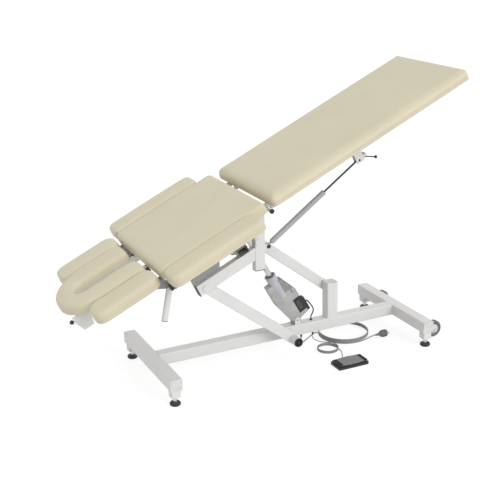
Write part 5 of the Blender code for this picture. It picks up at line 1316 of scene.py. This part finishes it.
@dataclass
class GasSpring(Assembly):
    """The leg section's gas spring and its release lever."""

    foot: Triple = (-0.132, -0.140, 0.657)
    head: Triple = (0.38513, -0.140, 1.02689)
    seal_start: float = 0.3924
    seal: tuple[tuple[float, float], ...] = ((0, 0.0056), (0.003, 0.0056), (0.003, 0.0085), (0.0018, 0.0105),
                                             (0, 0.0105))

    def build(self) -> None:
        """Dress the spring and lever and add the rod seal."""
        self.dress("leg_spring_cylinder", LILAC_STEEL)
        self.dress("leg_spring_rod", SATIN_BLACK)
        self.dress("release_lever", SATIN_BLACK)
        line = (Vector(self.head) - Vector(self.foot)).normalized()
        seal = Shell().turned(self.site.flat(*self.foot) + line * self.seal_start, line, self.seal, 24)
        self.add(seal.object("spring_rod_seal", plain(BUFFER)), "leg_spring_cylinder", "black_plastic")


@dataclass
class TopFrames(Assembly):
    """Boards, rail frames, carriers and the head frame under the cushions."""

    screw_face: float = 0.8689
    post_foot: Triple = (-0.3617, 0, 0.8697)
    post_lean: float = math.radians(36.3)
    post_length: float = 0.217
    hinge: Triple = (-0.420, 0, 0.8822)
    hinge_radius: float = 0.0148
    hinge_face: float = 0.0976
    spring_head: Triple = (0.779, -0.140, 0.772)
    spring_pin_radius: float = 0.0062
    spring_pin_face: float = 0.0149
    pad_rod: tuple[float, float] = (0.3215, 0.885)
    pad_rod_radius: float = 0.0056
    screw: Triple = (0.011, 0.011, 0.0026)
    board_screws: tuple[float, float] = (-0.11, 0.11)
    pad_screw_face: float = 0.8903
    pad_screws: float = 0.400
    armrest_screw_face: float = 0.8782
    armrest_screws: float = 0.265
    armrest_screw_gap: float = 0.026
    head_cap: float = 0.8362

    def build(self) -> None:
        """Dress the frames and add their screws."""
        self.dress("leg_board", WOOD)
        self.dress("centre_board", WOOD)
        head = self.site.top(*self.spring_head)
        self.dress("leg_frame", WHITE, Zone(BLACK, (Round(ACROSS, self.spring_pin_radius, head),
                                                    Test(ACROSS, self.spring_pin_face, head, True))))
        down = self.site.turn((-math.sin(self.post_lean), 0, -math.cos(self.post_lean)))
        post_end = self.site.top(*self.post_foot) + down * self.post_length
        zones = [Zone(BLACK, (Round(ACROSS, self.hinge_radius, self.site.top(*self.hinge)),
                              self.beyond(ACROSS, self.hinge_face, both=True))),
                 Zone(MID_GREY_AND_PAINTED_SHADE, (Test(down, 0.0, post_end),))]
        across, deep = self.pad_rod
        for side in (NEAR, FAR):
            rod = Round(self.site.turn(FORWARD), self.pad_rod_radius, self.site.top(0, side * across, deep))
            zones.append(Zone(STEEL, (rod,)))
        self.dress("centre_frame", WHITE, *zones)
        for side_name, _ in SIDES:
            self.dress("side_carrier_" + side_name, GREY_AND_PAINTED_SHADE)
            self.dress("armrest_carrier_" + side_name, GREY_AND_PAINTED_SHADE)
            self.dress("armrest_knob_" + side_name, BLACK)
        self.dress("head_frame", WHITE, Zone(BLACK, (self.beyond(-FORWARD, self.head_cap, sloped=True),)))
        self.screws("leg_board_screws", "leg_section", (0.300, 0.780, 1.3375), self.board_screws, self.screw_face)
        self.screws("centre_board_screws", "centre_section", (-0.3685, 0.050), self.board_screws, self.screw_face)
        for side_name, side in SIDES:
            self.screws("pad_screws_" + side_name, "side_pad_" + side_name, (-0.250, -0.165, -0.080),
                        [side * self.pad_screws], self.pad_screw_face)
            self.screws("armrest_screws_" + side_name, "armrest_" + side_name, (-0.540, -0.500),
                        [side * self.armrest_screws + way * self.armrest_screw_gap / 2 for way in WAYS],
                        self.armrest_screw_face)

    def screws(self, name: str, body: str, alongs: Sequence[float], acrosses: Sequence[float], deep: float) -> None:
        """Screws that hold a board or a pad from below, at every pair of along and across."""
        rows = [(self.site.top(along, across, deep), self.site.turn(-UP), self.site.turn(FORWARD))
                for along in alongs for across in acrosses]
        self.spread(Unit.BOLT, name, rows, STEEL, self.screw, body, "bright_steel", sides=12)


@dataclass
class Slab:
    """A cushion with a rectangular plan: its place on the slope, edges and corners."""

    name: str
    node: str
    body: str
    start: float
    end: float
    low: float
    high: float
    bottom: float
    edges: Triple
    corner: float
    seed: int
    board: bool = False

    @property
    def centre(self) -> Vector:
        """The middle of the plan."""
        return Vector(((self.start + self.end) / 2, (self.low + self.high) / 2))

    @property
    def reach(self) -> Vector:
        """Half the plan's length and width."""
        return Vector(((self.end - self.start) / 2, (self.high - self.low) / 2))

    def edge(self, normal: Vector) -> float:
        """The shoulder's radius on the side that a normal faces."""
        left, right, flank = self.edges
        return (left if normal.x < 0 else right) * normal.x ** 2 + flank * normal.y ** 2

    def outline(self) -> list[tuple[Vector, Vector]]:
        """Points round the plan.

        Returns:
            The place and the outward normal of each point.
        """
        steps = 8
        rows = []
        for x, y, first in ((self.end, self.high, 0), (self.start, self.high, 90), (self.start, self.low, 180),
                            (self.end, self.low, 270)):
            out = math.radians(first + 45)
            centre = Vector((x - math.copysign(self.corner, math.cos(out)),
                             y - math.copysign(self.corner, math.sin(out))))
            for step in range(steps + 1):
                angle = math.radians(first + 90 * step / steps)
                normal = Vector((math.cos(angle), math.sin(angle)))
                rows.append((centre + normal * self.corner, normal))
        made = []
        for (place, normal), (following, next_normal) in zip(rows, rows[1:] + rows[:1]):
            made.append((place, normal))
            gap = (following - place).length
            if gap > 0.03:
                pieces = round(gap / 0.014)
                made += [(place.lerp(following, step / pieces), next_normal) for step in range(1, pieces)]
        return made

    def falling(self, place: Vector) -> float:
        """How near the edge a point lies, from 0 at the middle to 1."""
        along, across = (place.x - self.centre.x) / self.reach.x, (place.y - self.centre.y) / self.reach.y
        return min(1.0, (along ** 4 + across ** 4) ** 0.6)

    def inward(self, place: Vector, normal: Vector, insets: Triple, least: float) -> Vector:
        """A point of the plan moved in by its own share at each edge, with the corners kept round.

        Args:
            place: the point.
            normal: its outward normal.
            insets: how far the left, the right and the flank edges move in.
            least: the smallest corner radius that is left.

        Returns:
            The moved point.
        """
        left, right, flank = insets
        corner = self.corner
        left_over = max(corner - max(insets), least)
        along = np.interp(place.x - normal.x * corner, (self.start + corner, self.end - corner),
                          (self.start + left + left_over, self.end - right - left_over))
        across = np.interp(place.y - normal.y * corner, (self.low + corner, self.high - corner),
                           (self.low + flank + left_over, self.high - flank - left_over))
        return Vector((along, across)) + normal * left_over


@dataclass
class Upholstery(Assembly):
    """Seven padded cushions, each a crowned closed form with its seam."""

    bottom: float = 0.895
    tall: float = 0.060
    half_width: float = 0.320
    armrest_drop: float = 0.004
    crown: float = 0.004
    draw: float = 0.0022
    gather: float = 0.0011
    gathers: int = 46
    gather_reach: float = 0.02
    waves: float = 0.00035
    board_inset: float = 0.0078
    board_depth: float = 0.0125
    seam_height: float = 0.014
    seam_hold: float = 0.004
    thread_height: float = 0.0182
    stitch: Triple = (0.0036, 0.0009, 0.0008)
    stitch_pitch: float = 0.0052
    least_corner: float = 0.009
    cover: Cover = Cover()

    def slabs(self) -> list[Slab]:
        """The rectangular cushions.

        Returns:
            The cushions' sizes and names.
        """
        half = self.half_width
        made = [Slab("leg_pad", "leg_cushion", "leg_section", 0.215, 1.430, -half, half, self.bottom,
                     (0.045, 0.022, 0.045), 0.024, 1, True),
                Slab("centre_pad", "centre_cushion", "centre_section", -0.410, 0.185, -half, half, self.bottom,
                     (0.032, 0.032, 0.026), 0.026, 2, True)]
        soft = (0.022, 0.022, 0.022)
        for side_name, side in SIDES:
            pad = "side_pad_" + side_name
            made.append(Slab(pad, "side_cushion_" + side_name, pad, -0.405, 0.105,
                             *sorted((side * 0.3205, side * 0.460)), self.bottom, soft, 0.040, 3 + side))
            made.append(Slab("armrest_pad_" + side_name, "armrest_cushion_" + side_name, "armrest_" + side_name,
                             -0.765, -0.425, *sorted((side * 0.200, side * 0.345)),
                             self.bottom - self.armrest_drop, soft, 0.050, 6 + side))
        return made

    def build(self) -> None:
        """Build every cushion and its stitches."""
        for slab in self.slabs():
            self.finish(slab.name, slab.node, slab.body, slab.bottom, *self.slab(slab))
        self.finish("head_pad", "head_cushion", "head_section", self.bottom, *self.horseshoe())

    def finish(self, name: str, node: str, body: str, bottom: float, rings: Sequence[Line],
               seam: Line) -> None:
        """Loft and pad a cushion, let it stand for its node, and sew its seam.

        Args:
            name: the cushion's name.
            node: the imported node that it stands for.
            body: the body that carries it.
            bottom: how deep its underside lies.
            rings: its rings in order.
            seam: points of its seam.
        """
        piece = Shell().loft(rings).object(name, plain(VINYL), 180)
        up = self.site.turn(UP)
        self.cover.swell(piece, up, bottom + self.seam_height + self.seam_hold + self.site.shift.dot(up))
        step = piece.modifiers.new("smooth", "SUBSURF")
        step.levels = step.render_levels = 1
        mesh = baked(piece)
        piece.modifiers.clear()
        piece.data = mesh
        mesh.shade_smooth()
        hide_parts(node)
        self.add(piece, body, "cream_vinyl")
        self.spread(Unit.BEAD, name + "_stitches", [seam], THREAD, self.stitch, body, "cream_vinyl",
                    spacing=self.stitch_pitch)

    def slab(self, slab: Slab) -> tuple[list[list[Vector]], list[Vector]]:
        """The rings of a slab cushion, from its underside to its top.

        Args:
            slab: its sizes.

        Returns:
            The rings and the points of its seam.
        """
        phases = np.random.default_rng(slab.seed).uniform(0, TURN, 8)
        outline = slab.outline()
        centre, reach = slab.centre, slab.reach

        def lifted(points: Line, height: float) -> list[Vector]:
            """Points of the plan at a height over the underside."""
            return [self.site.top(point.x, point.y, slab.bottom + height) for point in points]

        def ring(inset: float, height: float) -> list[Vector]:
            """The plan moved in evenly, at a height over the underside."""
            moved = [slab.inward(place, normal, (inset,) * 3, self.least_corner) for place, normal in outline]
            return lifted(moved, height)

        def pucker(place: Vector) -> float:
            """Small gathers of the cover round the corners."""
            from_corner = Vector((reach.x - abs(place.x - centre.x), reach.y - abs(place.y - centre.y)))
            return (math.exp(-(from_corner.length / (slab.corner + self.gather_reach)) ** 2)
                    * math.sin(self.gathers * math.atan2(place.y - centre.y, place.x - centre.x) + phases[0]))

        def waviness(place: Vector) -> float:
            """Uneven foam under the cover."""
            u, v = place.x * 9, place.y * 11
            return math.sin(u + phases[1]) * math.sin(v + phases[2]) + 0.6 * math.sin(2.3 * u + phases[3] + v)

        def shoulder(share: float) -> list[Vector]:
            """A ring of the rounded edge.

            Args:
                share: 0 where the edge starts, 1 at the top.

            Returns:
                The ring's points in the frame.
            """
            rise = math.sin(math.pi / 2 * share)
            turned = 1 - math.cos(math.pi / 2 * share)
            swell = self.draw * math.sin(math.pi * min(1.0, share + 0.25)) * (1 - rise)
            made = []
            for place, normal in outline:
                gathered = swell + self.gather * pucker(place) * math.sin(math.pi * share)
                insets = tuple(edge * turned for edge in slab.edges)
                point = slab.inward(place, normal, insets, self.least_corner) - normal * gathered
                height = self.tall - slab.edge(normal) * (1 - rise) - self.crown * slab.falling(point) * rise
                made += lifted([point], height)
            return made

        def shrunk(share: float) -> list[Vector]:
            """A ring of the top surface.

            Args:
                share: 1 at the rounded edge, 0 at the middle.

            Returns:
                The ring's points in the frame.
            """
            made = []
            for place, normal in outline:
                start = slab.inward(place, normal, slab.edges, self.least_corner)
                point = centre + (start - centre) * share
                fall = slab.falling(point)
                made += lifted([point], self.tall - self.crown * fall + self.waves * waviness(point) * (1 - fall))
            return made

        seam, inset, depth = self.seam_height, self.board_inset, self.board_depth
        under = ((min(reach.y * 0.55, 0.05), 0), (0.015, 0))
        if slab.board:
            under = ((inset + 0.10, depth), (inset + 0.01, depth), (inset, depth), (inset, 0.001), (inset - 0.001, 0))
        flank = ((0.0035, 0), (0.0012, 0.0008), (0.0002, 0.0035), (0.0002, seam - 0.0026), (0.0011, seam - 0.0005),
                 (0.0011, seam + 0.0005), (0.0001, seam + 0.0026))
        steps, layers = 9, 13
        rings = [ring(*place) for place in (*under, *flank)]
        rings += [shoulder(step / steps) for step in range(steps + 1)]
        rings += [shrunk(1 - step / layers) for step in range(1, layers)]
        line = lifted([place + normal * 0.0001 for place, normal in outline], self.thread_height)
        return rings, [*line, line[0]]

    def horseshoe(self) -> tuple[list[list[Vector]], list[Vector]]:
        """The rings of the U-shaped head cushion, from one end round its slot to the other.

        Returns:
            The rings and the points of its seam.
        """
        start, inner_centre, outer_centre = -0.435, -0.695, -0.660
        inner_radius, outer_radius = 0.060, 0.195
        edge, end_edge, end_corner, hollow = 0.022, 0.030, 0.022, 0.003
        straight = (0.0, 0.0015, 0.004, 0.008, 0.013, 0.019, 0.026, 0.034, 0.05, 0.08, 0.11, 0.14, 0.17, 0.20)
        steps = 40

        def rounded(reach: float, radius: float) -> float:
            """How far an arc of the radius has dropped at a reach from its start."""
            return radius * (1 - math.sqrt(1 - max(0.0, 1 - reach / radius) ** 2))

        def leg(side: int, reaches: Sequence[float]) -> list[tuple[Vector, Vector, float]]:
            """Inner and outer points of one straight leg, each with its reach from the end."""
            return [(Vector((start - reach, side * inner_radius)), Vector((start - reach, side * outer_radius)), reach)
                    for reach in reaches]

        stations = leg(NEAR, straight)
        for step in range(steps + 1):
            angle = math.radians(270 - 180 * step / steps)
            way = Vector((math.cos(angle), math.sin(angle)))
            stations.append((Vector((inner_centre, 0)) + way * inner_radius,
                             Vector((outer_centre, 0)) + way * outer_radius, 1.0))
        stations += leg(FAR, straight[::-1])
        rings, seam = [], []
        for inner, outer, reach in stations:
            across = (outer - inner).normalized()
            width = (outer - inner).length
            inset = rounded(reach, end_corner)
            high = self.tall - rounded(reach, end_edge)
            nose = min(edge, high * 0.8)
            profile = [(inset + out, height) for out, height in (
                (width / 4, 0.0), (0.004, 0.0), (0.0008, 0.001), (0.0, 0.004), (0.0, self.seam_height - 0.002),
                (0.0011, self.seam_height), (0.0, self.seam_height + 0.002))]
            for angle in (math.pi / 2 * step / 8 for step in range(9)):
                left = 1 - math.sin(angle)
                drawn = self.draw * left if angle else 0.0
                profile.append((inset + drawn + nose * (1 - math.cos(angle)),
                                high - nose * left - hollow * math.sin(angle)))
            crest = [(inset + nose + (width / 2 - inset - nose) * share, high - hollow * (1 - share) ** 2)
                     for share in (0.3, 0.65, 1.0)]
            mirrored = [(width - place, height) for place, height in reversed(profile + crest[:-1])]
            points = [(inner + across * place, height) for place, height in profile + crest + mirrored]
            rings.append([self.site.top(point.x, point.y, self.bottom + max(0.0, height))
                          for point, height in points])
            out = outer - across * (inset - 0.0001)
            seam.append(self.site.top(out.x, out.y, self.bottom + self.thread_height))
        return rings, seam


@dataclass
class Pedal(Assembly):
    """The foot pedal: a black base and a grey rocker with ribbed strips."""

    middle: Triple = (0.245, -0.3115, 0)
    half: float = 0.088
    rocker_top: float = 0.0285
    slope_rise: float = 0.004
    strip_start: float = 0.060
    strip_bottom: float = 0.019
    ribs_start: float = 0.0635
    rib_pitch: float = 0.0052
    ribs: int = 4
    rib: Triple = (0.066, 0.0024, 0.0014)

    def build(self) -> None:
        """Dress the pedal and add the strips' ribs."""
        middle = self.site.flat(*self.middle)
        self.dress("pedal_base", BLACK)
        self.dress("pedal_rocker", PEDAL_GREY, Zone(BUFFER, (Test(FORWARD, self.strip_start, middle, True),
                                                             Test(UP, self.strip_bottom))))
        slope = self.slope_rise / self.half
        rows = []
        for way in WAYS:
            for out in (self.ribs_start + self.rib_pitch * step for step in range(self.ribs)):
                rows.append((middle + FORWARD * way * out + UP * (self.rocker_top - slope * out),
                             UP + FORWARD * way * slope, ACROSS))
        self.spread(Unit.BLOCK, "pedal_ribs", rows, BUFFER, self.rib, "pedal_rocker", "black_plastic")


@dataclass
class Studio:
    """Camera, pale floor and plain soft light."""

    site: Site
    eye: Triple = (-2.2242, -4.3448, 2.2384)
    yaw: float = 0.4433
    pitch: float = 0.3289
    roll: float = -0.0232
    lens: float = 72.23
    sun: float = 1.15
    sun_width: float = 32
    sun_from: Triple = (0.25, -0.83, 0.50)
    sky: float = 0.86
    floor_reach: float = 30

    def camera(self) -> None:
        """Stand where the photograph was taken from."""
        level = Vector((math.cos(self.yaw), -math.sin(self.yaw), 0))
        ahead = Vector((math.sin(self.yaw) * math.cos(self.pitch), math.cos(self.yaw) * math.cos(self.pitch),
                        -math.sin(self.pitch)))
        rise = level.cross(ahead)
        right = level * math.cos(self.roll) + rise * math.sin(self.roll)
        above = rise * math.cos(self.roll) - level * math.sin(self.roll)
        data = bpy.data.cameras.new("camera")
        data.lens = self.lens
        data.sensor_width = 36
        data.clip_end = 100
        made = new_object("camera", data)
        turn = Matrix((right, above, -ahead)).transposed()
        made.matrix_world = Matrix.Translation(self.site.flat(*self.eye)) @ turn.to_4x4()
        bpy.context.scene.camera = made

    def floor(self) -> None:
        """A pale floor that keeps a soft shadow."""
        tree = ShaderTree("pale_floor")
        ground, faint = (tree.add("ShaderNodeBsdfDiffuse", {"Color": (grey, grey, grey)}).outputs[0]
                         for grey in (0.78, 0.26))
        glow = tree.add("ShaderNodeEmission", {"Color": (0.80, 0.80, 0.80), "Strength": 1.0})
        bright = tree.add("ShaderNodeAddShader", {0: faint, 1: glow.outputs[0]})
        both = tree.add("ShaderNodeMixShader", {0: tree.unlit(), 1: ground, 2: bright.outputs[0]})
        tree.add("ShaderNodeOutputMaterial", {"Surface": both.outputs[0]})
        mesh = bpy.data.meshes.new("studio_floor")
        corners = ((-1, -1), (1, -1), (1, 1), (-1, 1))
        mesh.from_pydata([(x * self.floor_reach, y * self.floor_reach, 0) for x, y in corners], [], [(0, 1, 2, 3)])
        mesh.materials.append(tree.material)
        new_object("studio_floor", mesh)

    def lights(self) -> None:
        """A broad sun from the near side, and an even sky that the camera sees as white."""
        data = bpy.data.lights.new("key_light", "SUN")
        data.energy = self.sun
        data.angle = math.radians(self.sun_width)
        key = new_object("key_light", data)
        key.rotation_euler = Vector(self.sun_from).to_track_quat("Z", "Y").to_euler()
        world = bpy.data.worlds.new("sky")
        world.use_nodes = True
        tree = NodeTree(world.node_tree)
        sky, white = (tree.add("ShaderNodeBackground", {"Color": (1, 1, 1), "Strength": strength}).outputs[0]
                      for strength in (self.sky, 1.0))
        both = tree.add("ShaderNodeMixShader", {0: tree.unlit(), 1: sky, 2: white})
        tree.add("ShaderNodeOutputWorld", {0: both.outputs[0]})
        bpy.context.scene.world = world
        bpy.context.scene.view_settings.view_transform = "Standard"


def main() -> None:
    """Load the frame, set the camera, build every assembly in order, and add the floor and the lights."""
    logging.basicConfig(level=logging.INFO, format="%(message)s")
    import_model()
    site = Site()
    studio = Studio(site)
    studio.camera()
    repeats = {unit: Repeat(unit) for unit in Unit}
    for kind in (Cords, MotorLead, BaseFrame, Lift, Actuator, GasSpring, TopFrames, Upholstery, Pedal):
        kind(site, repeats).build()
        LOG.info("%s done", kind.__name__)
    studio.floor()
    studio.lights()


if __name__ == "__main__":
    main()
